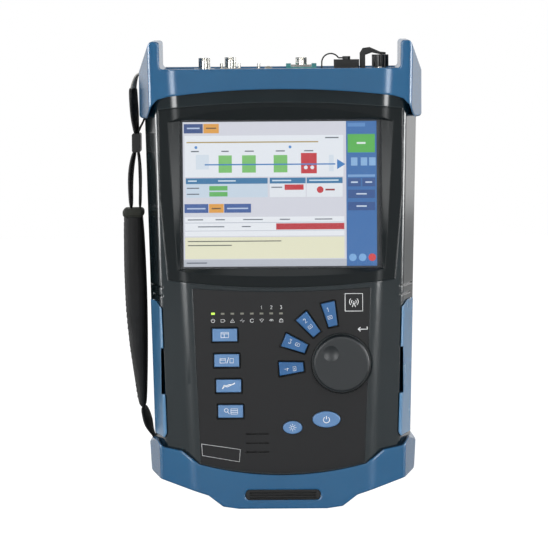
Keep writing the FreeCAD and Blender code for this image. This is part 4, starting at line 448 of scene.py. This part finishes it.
picture = [patch(0, 0, 132.5, 99.2, 0, "#e3e1e8")]
for left, top, wide, tall, layer, colour in (
    (111.7, 0, 20.8, 99.2, 1, "#2c6db0"), (0.8, 1.3, 13, 6.4, 1, "#2c4a86"),
    (14.2, 1.3, 10.6, 6.4, 1, "#f0a63c"), (1.2, 9.4, 108.6, 28.2, 1, "#f7f8fb"),
    (2.6, 13.5, 90.1, 0.9, 2, "#b9a05e"), (8.9, 22.4, 8.9, 10, 2, "#e4ecf4"),
    (24.4, 22.9, 9.1, 11.9, 2, "#7fc96a"), (40.5, 22.9, 9.4, 11.9, 2, "#7fc96a"),
    (62.1, 22.9, 9.4, 11.9, 2, "#7fc96a"), (80.8, 21.6, 10.8, 14, 2, "#d2202a"),
    (14.9, 28.8, 89.4, 0.9, 3, "#2f7fc4"), (100, 23, 3.2, 11.2, 2, "#e4ecf4"),
    (1.9, 38.4, 56, 4, 2, "#2d78a8"), (59.3, 38.4, 24.6, 4, 2, "#2d78a8"),
    (84.6, 38.4, 24.6, 4, 2, "#2d78a8"), (1.9, 42.4, 56, 9.3, 1, "#d5e2ee"),
    (59.3, 42.4, 24.6, 9.3, 1, "#f4f5f8"), (84.6, 42.4, 24.6, 9.3, 1, "#f4f5f8"),
    (17.9, 43.8, 12.5, 3.1, 2, "#63bb5a"), (17.9, 47.9, 12.5, 3.1, 2, "#63bb5a"),
    (69.5, 43.1, 13, 3.7, 2, "#d2202a"), (0.8, 56.1, 16.4, 6.1, 1, "#3a5da0"),
    (17.6, 56.1, 10.1, 6.1, 1, "#f0a63c"), (28, 56.1, 18.4, 6.1, 1, "#3a5da0"),
    (1.1, 65.1, 109.1, 13.1, 1, "#fafafc"), (63.5, 69.7, 46.7, 4.3, 2, "#c8202c"),
    (1.1, 68.8, 109.1, 0.5, 2, "#c9ccd6"), (1.1, 74.4, 109.1, 0.4, 2, "#c9ccd6"),
    (1.1, 79, 109.1, 14.8, 1, "#f7f2d0"), (0, 94.4, 111.7, 4.8, 1, "#c3c5cc"),
    (112.8, 8.9, 18.6, 12.6, 2, "#56b947"), (115, 24.9, 4.4, 5.6, 2, "#8fb9e2"),
    (121.7, 24.9, 4.4, 5.6, 2, "#8fb9e2"), (127.4, 24.9, 4.4, 5.6, 2, "#8fb9e2"),
    (112.8, 36.6, 18.6, 1.6, 2, "#7ea9d8"), (112.8, 39, 8.9, 5.8, 2, "#1f4f90"),
    (122.6, 39, 8.9, 5.8, 2, "#1f4f90"), (112.8, 47, 18.6, 5.8, 2, "#1f4f90"),
    (112.8, 55.4, 18.6, 5.8, 2, "#1f4f90"), (112.8, 1.2, 12, 2.6, 2, "#5b8fca"),
):
    picture.append(patch(left, top, wide, tall, layer, colour))
for left, top, wide, layer, colour in (
    (8, 16.4, 2, 3, "#3c8ad0"), (72.4, 16.4, 2, 3, "#3c8ad0"), (91.5, 44.5, 4.6, 2, "#d2202a"),
    (113.3, 90.8, 5.2, 2, "#7fb2e4"), (120, 90.8, 5.2, 2, "#7fb2e4"),
    (126.6, 90.8, 5.2, 2, "#e23a3a"), (82.8, 30.2, 2.6, 3, "#f7f8fb"),
    (87.2, 30.2, 2.6, 3, "#f7f8fb"),
):
    picture.append(patch(left, top, wide, wide, layer, colour, 20))
for left, top, wide, tall, layer, colour in (
    (5.6, 19.7, 5.4, 0.8, 3, "#5c6470"), (26.4, 19.7, 5, 0.8, 3, "#5c6470"),
    (42.4, 19.7, 6.2, 0.8, 3, "#5c6470"), (63.6, 19.7, 6.2, 0.8, 3, "#5c6470"),
    (83, 19.7, 6.2, 0.8, 3, "#5c6470"), (97.4, 10.8, 9.2, 0.8, 3, "#5c6470"),
    (2.6, 44.9, 8.4, 0.7, 3, "#56606e"), (2.6, 49, 8.4, 0.7, 3, "#56606e"),
    (60.4, 44.6, 7.4, 0.7, 3, "#56606e"), (97.4, 46.2, 6.4, 1.2, 3, "#9c2026"),
    (3, 66.6, 10.5, 0.7, 3, "#56606e"), (22, 66.6, 6.4, 0.7, 3, "#56606e"),
    (41, 66.6, 13.4, 0.7, 3, "#56606e"), (66, 66.6, 7, 0.7, 3, "#56606e"),
    (90, 66.6, 12, 0.7, 3, "#56606e"), (10, 71.4, 18, 0.7, 3, "#56606e"),
    (40, 71.4, 6, 0.7, 3, "#56606e"), (3, 81.4, 64, 0.7, 3, "#66685c"),
    (3, 84.2, 30, 0.7, 3, "#66685c"), (2, 96.2, 14, 0.8, 3, "#5c6470"),
    (119, 14.4, 6, 1.3, 3, "#f4fbf2"), (115, 41.4, 4.6, 0.9, 3, "#dbe8f6"),
    (124.8, 41.4, 4.6, 0.9, 3, "#dbe8f6"), (118.6, 49.4, 7, 0.9, 3, "#dbe8f6"),
    (118.6, 57.8, 7, 0.9, 3, "#dbe8f6"), (3, 3.8, 8.6, 0.9, 3, "#c6d4ee"),
    (16, 3.8, 7, 0.9, 3, "#6b4a16"), (2.6, 58.8, 12.6, 0.9, 3, "#c6d4ee"),
    (19.4, 58.8, 6.4, 0.9, 3, "#6b4a16"), (30, 58.8, 14.4, 0.9, 3, "#c6d4ee"),
    (3.4, 39.9, 6, 0.9, 3, "#dcebf5"), (24, 39.9, 12, 0.9, 3, "#dcebf5"),
    (61, 39.9, 13, 0.9, 3, "#dcebf5"), (86.4, 39.9, 20, 0.9, 3, "#dcebf5"),
):
    picture.append(patch(left, top, wide, tall, layer, colour))
arrow = patch(103.6, 25.4, 7.6, 8, 3, "#2f7fc4", 3)
arrow.data.transform(Matrix.Rotation(-math.pi / 2, 4, "Z"))
picture.append(arrow)
picture = joined("display_picture", picture)
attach(picture, "chassis")

# Printed marks: white ink on the keys and the keypad film, silk-screened through a mesh.
# The ink stands about a twentieth of a millimetre proud and is a little chalky.
white_ink = finish("white_silkscreen_ink", "#e9ebec", 0.55)
tinted(white_ink, 1500, 2, "#dcdfe1", "#f6f7f8")
ink_flatness = 0.3
key_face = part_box("left_key_1")[0].y
film_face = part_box("keypad_film")[0].y


def ink(name, body, face, side, high, strokes, width=0.4, turn=0.0, size=1.0, paint=white_ink):
    """Line marks drawn in millimetres about a middle point, on a face at that depth."""
    drawing = bpy.data.curves.new(name, "CURVE")
    drawing.dimensions = "3D"
    drawing.bevel_depth = width / 2000
    drawing.bevel_resolution = 1
    drawing.use_fill_caps = True
    for stroke in strokes:
        line = drawing.splines.new("POLY")
        line.points.add(len(stroke) - 1)
        for point, (across, up) in zip(line.points, stroke):
            spun = Matrix.Rotation(turn, 2) @ Vector((across, up)) * size
            point.co = (spun.x / 1000, 0, spun.y / 1000, 1)
    piece = bpy.data.objects.new(name, drawing)
    bpy.context.scene.collection.objects.link(piece)
    pick(piece)
    bpy.ops.object.convert(target="MESH")
    piece = bpy.context.object
    piece.data.transform(Matrix.Diagonal((1, ink_flatness, 1, 1)))
    piece.data.transform(Matrix.Translation((side / 1000, face, high / 1000)))
    piece.data.materials.clear()
    piece.data.materials.append(paint)
    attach(piece, body)


def arc(middle_x, middle_y, radius, start, end, steps=12):
    """Points along an arc, angles in degrees."""
    return [
        (middle_x + radius * math.cos(math.radians(start + (end - start) * n / steps)),
         middle_y + radius * math.sin(math.radians(start + (end - start) * n / steps)))
        for n in range(steps + 1)
    ]


def framed(low_x, low_y, high_x, high_y):
    """The outline of a rectangle."""
    return [(low_x, low_y), (high_x, low_y), (high_x, high_y), (low_x, high_y), (low_x, low_y)]


def middle(node):
    """The middle of a node, across and up, in millimetres."""
    low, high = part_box(node)
    return (low.x + high.x) * 500, (low.z + high.z) * 500


# Rims round the windows of the eight keys: painted shade of the gaps round the keys, laid on the
# film as a dark line about a millimetre wide. Each follows its key's outline at a small reach, so
# that the pressed key stays clear.
painted_gap_shade = finish("painted_key_gap_shade", "#030506", 0.4, Specular_IOR_Level=0.1)
worn(painted_gap_shade, 900, 2, 0.25, 0.4)
rim_reach = 0.85
rim_width = 1.2
key_face_depth = 0.0008


def rim(node):
    """The painted shade rim in the gap round a key's window, from the outline of the key's face."""
    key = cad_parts[node]
    corners = [key.matrix_world @ vertex.co for vertex in key.data.vertices]
    front = min(corner.y for corner in corners)
    side, high = middle(node)
    spots = [(corner.x * 1000 - side, corner.z * 1000 - high) for corner in corners
             if corner.y < front + key_face_depth]
    hull = [Vector(spots[index]) for index in convex_hull_2d(spots)]
    outline = []
    for before, here, after in zip(hull[-1:] + hull[:-1], hull, hull[1:] + hull[:1]):
        first, second = (here - before).normalized(), (after - here).normalized()
        first, second = Vector((first.y, -first.x)), Vector((second.y, -second.x))
        away = (first + second) * (rim_reach / (1 + first.dot(second)))
        outline.append(here + away if away.dot(here) > 0 else here - away)
    ink("rim_" + node, "chassis", film_face, side, high, [outline + outline[:1]], rim_width,
        paint=painted_gap_shade)


for number in range(1, 5):
    rim(f"left_key_{number}")
    rim(f"function_key_{number}")

# Marks on the keys and buttons, in the white ink: a window, a link, a trace and a list on the left
# keys, a digit and a small box on each function key, turned about the dial, and two symbols.
side, high = middle("left_key_1")
ink("mark_window", "left_key_1", key_face, side, high, [
    framed(-2.6, -1.7, 2.6, 1.9), [(-2.6, 0.9), (2.6, 0.9)], [(-0.4, 0.9), (-0.4, -1.7)]])
side, high = middle("left_key_2")
ink("mark_link", "left_key_2", key_face, side, high, [
    framed(-4.6, -1.6, -0.8, 1.4), [(-4.6, 0.4), (-0.8, 0.4)], [(0.0, -2), (1.4, 2.2)],
    framed(2.2, -1.6, 4.6, 1.4)])
side, high = middle("left_key_3")
ink("mark_trace", "left_key_3", key_face, side, high, [
    [(-4.4, -2), (-3.2, 0.6), (-1.4, 0.2), (0.6, 1.0), (2.0, 0.9), (4.4, 2.2)],
    [(-4.2, -2), (-2.8, -0.2), (-0.8, -0.6), (1.2, 0.4), (4.2, 1.7)]], 0.6)
side, high = middle("left_key_4")
ink("mark_find", "left_key_4", key_face, side, high, [
    arc(-3, 0.8, 1.3, 0, 360), [(-2.1, -0.2), (-0.9, -1.8)], framed(0.2, -1.8, 4.8, 1.8),
    [(0.2, 0.6), (4.8, 0.6)], [(0.2, -0.6), (4.8, -0.6)]])
dial_side, dial_high = 40.7, 99.4
digit_shift = 3.2
upright_from = math.pi * 0.75
digits = (
    [[(-0.6, 0.7), (0, 1.3), (0, -1.3)]],
    [[(-0.8, 0.9), (-0.2, 1.3), (0.5, 1.1), (0.7, 0.5), (-0.8, -1.3), (0.8, -1.3)]],
    [[(-0.7, 1.3), (0.7, 1.3), (-0.1, 0.3), (0.6, -0.1), (0.6, -0.9), (0, -1.3), (-0.8, -1.1)]],
    [[(0.4, -1.3), (0.4, 1.3), (-0.8, -0.5), (0.9, -0.5)]],
)
for number, strokes in enumerate(digits):
    node = f"function_key_{number + 1}"
    side, high = middle(node)
    out = Vector((side - dial_side, high - dial_high)).normalized()
    turn = math.atan2(out.y, out.x)
    turn -= math.pi if turn > upright_from else math.pi / 2
    shift = out * digit_shift
    ink(f"mark_digit_{number + 1}", node, key_face, side + shift.x, high + shift.y, strokes, 0.4,
        turn, 1.1)
    ink(f"mark_arrow_{number + 1}", node, key_face, side - shift.x * 0.7, high - shift.y * 0.7, [
        framed(-1.4, -1, 1.4, 1), [(-0.6, 0), (0.6, 0)]], 0.35, turn)
side, high = middle("power_button")
ink("mark_power", "power_button", key_face, side, high, [
    arc(0, -0.2, 2.1, 125, 415), [(0, 2.4), (0, 0.2)]], 0.55)
side, high = middle("backlight_button")
ink("mark_light", "backlight_button", key_face, side, high, [arc(0, 0, 1.1, 0, 360)] + [
    [(1.8 * math.cos(turn), 1.8 * math.sin(turn)), (2.5 * math.cos(turn), 2.5 * math.sin(turn))]
    for turn in (math.radians(45 * n) for n in range(8))], 0.4)

# Marks on the film, in the white ink: an enter arrow and a boxed radio mast above the dial, small
# symbols and three plain digits for the lamps, and an empty frame where a label would be printed.
lamp_pitch = 6.67
first_lamp = -47.1
lamp_marks_high = 129.1
first_channel = -13.8
channels_high = 138.2
ink("mark_enter", "chassis", film_face, 55.2, 122.9, [
    [(3.2, 1.6), (3.2, -0.2), (-3, -0.2)], [(-1.4, 1.2), (-3, -0.2), (-1.4, -1.6)]], 0.7)
ink("mark_wireless", "chassis", film_face, 49.4, 141.2, [framed(-6, -6, 6, 6)], 0.55)
ink("mark_wireless_waves", "chassis", film_face, 49.4, 141.6, [
    arc(0, 0, 1.6, -45, 45), arc(0, 0, 3.0, -45, 45), arc(0, 0, 1.6, 135, 225),
    arc(0, 0, 3.0, 135, 225), [(0, 0.4), (0, -0.4)], [(0, -0.6), (-1.1, -3.6)],
    [(0, -0.6), (1.1, -3.6)]], 0.5)
lamp_marks = (
    [arc(0, 0, 1.2, 120, 420), [(0, 1.5), (0, 0.2)]],
    [framed(-1.2, -0.9, 1.0, 0.9), [(1.5, 0.4), (1.5, -0.4)]],
    [[(-1.4, -1.1), (0, 1.3), (1.4, -1.1), (-1.4, -1.1)], [(0, 0.2), (0, -0.4)]],
    [[(-1.4, 0), (-0.7, 0), (0, 1.2), (0.5, -1.1), (1.0, 0), (1.5, 0)]],
    [arc(0, 0, 1.2, 20, 340)],
    [[(-1.3, 1), (0, -1.1), (1.3, 1)], [(-0.6, 1.1), (0.6, 1.1)]],
    [arc(0, -0.6, 1.4, 20, 160), arc(0, -0.6, 0.6, 20, 160)],
    [framed(-1.2, -1.1, 1.2, 0.4), arc(0, 0.4, 0.8, 0, 180)],
)
for number, strokes in enumerate(lamp_marks):
    ink(f"mark_lamp_{number + 1}", "chassis", film_face, first_lamp + number * lamp_pitch,
        lamp_marks_high, strokes, 0.32)
for number in range(3):
    ink(f"mark_channel_{number + 1}", "chassis", film_face, first_channel + number * lamp_pitch,
        channels_high, digits[number], 0.34, 0.0, 0.85)
ink("label_box", "chassis", film_face, -42, 37.6, [
    [(-13.6, 6.9), (12.9, 2.9), (12.2, -5.6), (-13.1, -1.1), (-13.6, 6.9)]], 0.3)

# Webbing of the hand strap: flat nylon, woven with ribs about a millimetre apart, black, and pale
# where the loop passes through the horn. Most runs twist a little, as a hanging strap does.

def woven(name, colour, pale, scale, depth=0.0004):
    """A woven nylon: ribs spaced along Z and threads along Y, 0.314 / scale metres apart."""
    cloth = finish(name, colour, 0.72, Specular_IOR_Level=0.25)
    tree, shader, place = shading(cloth)
    ribs = add(tree, "TexWave", {"Vector": place, "Scale": scale, "Distortion": 1.2,
                                 "Detail": 1.0, "Detail Scale": 2.0}, bands_direction="Z")
    threads = add(tree, "TexWave", {"Vector": place, "Scale": scale,
                                    "Distortion": 0.8}, bands_direction="Y")
    weave = add(tree, "Math", {0: ribs.outputs["Fac"], 1: threads.outputs["Fac"]},
                operation="MULTIPLY")
    rubbed = add(tree, "TexNoise", {"Vector": place, "Scale": 140, "Detail": 4})
    shade = add(tree, "Math", {0: weave.outputs[0], 1: rubbed.outputs["Fac"]},
                operation="MULTIPLY")
    tint = add(tree, "Mix", {0: shade.outputs[0], 6: linear(colour), 7: linear(pale)},
               data_type="RGBA")
    tree.links.new(tint.outputs[2], shader.inputs["Base Color"])
    bump = add(tree, "Bump", {"Height": weave.outputs[0], "Strength": 0.7, "Distance": depth})
    tree.links.new(bump.outputs[0], shader.inputs["Normal"])
    return cloth


webbing_scale = 314
black_webbing = woven("black_nylon_webbing", "#0c0d0e", "#3a3b3d", webbing_scale)
pale_webbing = woven("pale_nylon_webbing", "#8f8d87", "#d0cec8", webbing_scale)
strap_middle = 18
strap_width = 20
strap_section = ((-0.5, -0.46), (0, -0.5), (0.5, -0.46), (0.5, 0), (0.5, 0.46), (0, 0.5),
                 (-0.5, 0.46), (-0.5, 0))


def band(name, cloth, node, stops):
    """Webbing through stops of (across, up, thickness, twist), in millimetres and degrees."""
    rings = []
    for number, (across, up, thick, twist) in enumerate(stops):
        before, after = stops[max(number - 1, 0)], stops[min(number + 1, len(stops) - 1)]
        along = Vector((after[0] - before[0], 0, after[1] - before[1])).normalized()
        out = Vector((along.z, 0, -along.x))
        turn = Matrix.Rotation(math.radians(twist), 3, along)
        centre = Vector((across, strap_middle, up))
        rings.append([
            (centre + turn @ (out * thick * u + Vector((0, strap_width * v, 0)))) / 1000
            for u, v in strap_section
        ])
    count = len(strap_section)
    faces = [(n * count + k, n * count + (k + 1) % count, (n + 1) * count + (k + 1) % count,
              (n + 1) * count + k) for n in range(len(rings) - 1) for k in range(count)]
    last = (len(rings) - 1) * count
    faces += [tuple(reversed(range(count))), tuple(range(last, last + count))]
    mesh = bpy.data.meshes.new(name)
    mesh.from_pydata([point for ring in rings for point in ring], [], faces)
    piece = bpy.data.objects.new(name, mesh)
    bpy.context.scene.collection.objects.link(piece)
    pick(piece)
    bpy.ops.object.mode_set(mode="EDIT")
    bpy.ops.mesh.select_all(action="SELECT")
    bpy.ops.mesh.normals_make_consistent(inside=False)
    bpy.ops.object.mode_set(mode="OBJECT")
    bpy.ops.object.modifier_add(type="SUBSURF")
    piece.modifiers[-1].levels = 2
    bpy.ops.object.modifier_apply(modifier=piece.modifiers[-1].name)
    bpy.ops.object.shade_smooth()
    mesh.materials.append(cloth)
    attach(piece, "chassis")
    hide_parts(node)


band("loop_pale", pale_webbing, "strap_loop", [
    (-94.0, 297.4, 1.6, 0), (-97.4, 297.8, 1.6, 0), (-99.8, 296.4, 1.8, 2), (-101.2, 292.5, 2.0, 5),
    (-102.1, 288.5, 2.2, 7), (-102.4, 285.0, 2.2, 8)])
band("loop_black", black_webbing, "strap_loop", [
    (-102.4, 287.6, 3.0, 7), (-102.5, 286.6, 4.0, 8), (-102.3, 281.0, 3.6, 10),
    (-101.8, 273.0, 2.8, 13), (-101.3, 265.0, 2.6, 11), (-100.7, 259.5, 2.8, 6),
    (-100.3, 255.4, 3.0, 3)])
band("loop_back", black_webbing, "strap_loop", [
    (-94.1, 296.0, 1.2, 0), (-94.1, 270.0, 1.2, 0), (-94.8, 265.0, 1.2, 0), (-98.2, 259.4, 1.4, 0),
    (-99.4, 255.6, 1.6, 0)])
band("strand_outer", black_webbing, "strap_strands", [
    (-101.4, 244.2, 2.4, 2), (-103.2, 238.0, 2.6, 4), (-104.7, 228.0, 2.8, 5),
    (-104.9, 216.0, 2.6, 3), (-104.4, 202.5, 2.4, 2)])
band("strand_inner", black_webbing, "strap_strands", [
    (-99.4, 244.2, 2.2, 0), (-98.4, 238.0, 2.2, -3), (-98.0, 228.0, 2.2, -5),
    (-98.0, 216.0, 2.2, -2), (-98.4, 202.5, 2.2, 0)])
band("foot_band", black_webbing, "strap_tail", [
    (-97.4, 66.0, 2.6, 6), (-95.6, 60.0, 2.8, 12), (-94.0, 54.0, 2.8, 14), (-92.6, 49.6, 2.2, 8),
    (-90.8, 46.2, 1.4, 2), (-89.1, 42.0, 1.2, 0), (-89.0, 31.0, 1.2, 0)])

# Padded sleeve of the hand strap: two layers of black nylon cloth sewn around a foam filling.
# The filling swells it between its seams, and a webbing tape binds its open top end.
sleeve_cloth = woven("black_nylon_cloth", "#0d0e0f", "#2a2b2d", 520, 0.0002)
sleeve_low, sleeve_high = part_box("strap_sleeve")
sleeve_slack = 0.0014
sleeve_edge = 0.0032
sleeve_voxel = 0.004
sleeve_pressure = 4
sleeve_frames = 20
sleeve_swell = 0.0016
sleeve_cuts = (0.069, 0.080, 0.093, 0.108, 0.122, 0.135, 0.150, 0.163, 0.175, 0.190)
sleeve_outer = ((0.063, 0.1006), (0.069, 0.1018), (0.080, 0.1033), (0.093, 0.1046),
                (0.108, 0.1072), (0.135, 0.1096), (0.163, 0.1106), (0.204, 0.1106))
sleeve_inner = ((0.063, 0.0938), (0.150, 0.0938), (0.175, 0.0950), (0.204, 0.0952))


def along_profile(profile, height):
    """The value of a profile of (height, value) pairs at a height."""
    for (low_z, low_value), (high_z, high_value) in zip(profile, profile[1:]):
        if height <= high_z:
            share = max(0.0, (height - low_z) / (high_z - low_z))
            return low_value + share * (high_value - low_value)
    return profile[-1][1]


bpy.ops.object.select_all(action="DESELECT")
bpy.ops.mesh.primitive_cube_add(
    size=1, location=(sleeve_low + sleeve_high) / 2,
    scale=sleeve_high - sleeve_low - Vector((2, 2, 2)) * sleeve_slack)
sleeve = bpy.context.object
sleeve.name = "padded_sleeve"
bpy.ops.object.transform_apply(location=True, rotation=True, scale=True)
bpy.ops.object.mode_set(mode="EDIT")
for height in sleeve_cuts:
    bpy.ops.mesh.select_all(action="SELECT")
    bpy.ops.mesh.bisect(plane_co=(0, 0, height), plane_no=(0, 0, 1))
bpy.ops.object.mode_set(mode="OBJECT")
sleeve_mid = (sleeve_low.x + sleeve_high.x) / 2
for vertex in sleeve.data.vertices:
    if vertex.co.x < sleeve_mid:
        vertex.co.x = sleeve_slack - along_profile(sleeve_outer, vertex.co.z)
    else:
        vertex.co.x = -sleeve_slack - along_profile(sleeve_inner, vertex.co.z)
bpy.ops.object.mode_set(mode="EDIT")
bpy.ops.mesh.select_all(action="SELECT")
bpy.ops.mesh.bevel(offset=sleeve_edge, segments=3, affect="EDGES")
bpy.ops.object.mode_set(mode="OBJECT")
sleeve.data.remesh_voxel_size = sleeve_voxel
bpy.ops.object.voxel_remesh()
before = [vertex.co.copy() for vertex in sleeve.data.vertices]
bpy.ops.object.modifier_add(type="CLOTH")
filling = sleeve.modifiers[-1]
filling.settings.use_pressure = True
filling.settings.uniform_pressure_force = sleeve_pressure
filling.settings.effector_weights.gravity = 0
for number in range(1, sleeve_frames + 1):
    bpy.context.scene.frame_set(number)
bpy.ops.object.modifier_apply(modifier=filling.name)
bpy.context.scene.frame_set(1)
for vertex, was in zip(sleeve.data.vertices, before):
    moved = vertex.co - was
    if moved.length > sleeve_swell:
        vertex.co = was + moved * (sleeve_swell / moved.length)
bpy.ops.object.modifier_add(type="SUBSURF")
sleeve.modifiers[-1].levels = 1
bpy.ops.object.modifier_apply(modifier=sleeve.modifiers[-1].name)
bpy.ops.object.shade_smooth()
sleeve.data.materials.clear()
sleeve.data.materials.append(sleeve_cloth)
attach(sleeve, "chassis")
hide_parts("strap_sleeve")

# Binding tape of the sleeve: an olive-black woven tape, folded over the sleeve's open top end and
# sewn through both layers.
binding_tape = woven("olive_binding_tape", "#1d1f1a", "#45483e", 420, 0.0003)
tape_height = 0.0062
tape_drop = 0.0032
tape_inset = 0.0008
tape_edge = 0.0024
bpy.ops.object.select_all(action="DESELECT")
bpy.ops.mesh.primitive_cube_add(
    size=1, location=(sleeve_mid, (sleeve_low.y + sleeve_high.y) / 2, sleeve_high.z - tape_drop),
    scale=(sleeve_high.x - sleeve_low.x - tape_inset, sleeve_high.y - sleeve_low.y - tape_inset,
           tape_height))
tape = bpy.context.object
tape.name = "sleeve_binding"
bpy.ops.object.transform_apply(location=True, rotation=True, scale=True)
bpy.ops.object.mode_set(mode="EDIT")
bpy.ops.mesh.select_all(action="SELECT")
bpy.ops.mesh.bevel(offset=tape_edge, segments=4, affect="EDGES")
bpy.ops.object.mode_set(mode="OBJECT")
bpy.ops.object.shade_smooth()
tape.data.materials.append(binding_tape)
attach(tape, "chassis")

# Stitches of the sleeve: a row of waxed thread along each long seam, four millimetres from one
# stitch to the next, each lying on the swollen cloth.
thread = finish("waxed_black_thread", "#2b2c2e", 0.6)
tree, shader, place = shading(thread)
twist = add(tree, "TexWave", {"Vector": place, "Scale": 900, "Distortion": 1.0})
bump = add(tree, "Bump", {"Height": twist.outputs["Fac"], "Strength": 0.5, "Distance": 0.0001})
tree.links.new(bump.outputs[0], shader.inputs["Normal"])
seam_inset = 0.0052
first_stitch = 0.010
stitch_pitch = 0.004
stitch_count = 32
stitch_radius = 0.00035
stitch_length = 0.0026
stitches = []
for seam in (sleeve_low.y + seam_inset, sleeve_high.y - seam_inset):
    for number in range(stitch_count):
        height = sleeve_low.z + first_stitch + stitch_pitch * number
        bpy.ops.object.select_all(action="DESELECT")
        bpy.ops.mesh.primitive_cylinder_add(
            vertices=6, radius=stitch_radius, depth=stitch_length,
            location=sleeve.closest_point_on_mesh(
                Vector((-along_profile(sleeve_outer, height), seam, height)))[1])
        stitches.append(bpy.context.object)
stitches = joined("sleeve_stitches", stitches)
bpy.ops.object.shade_smooth()
stitches.data.materials.append(thread)
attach(stitches, "chassis")

low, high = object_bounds()
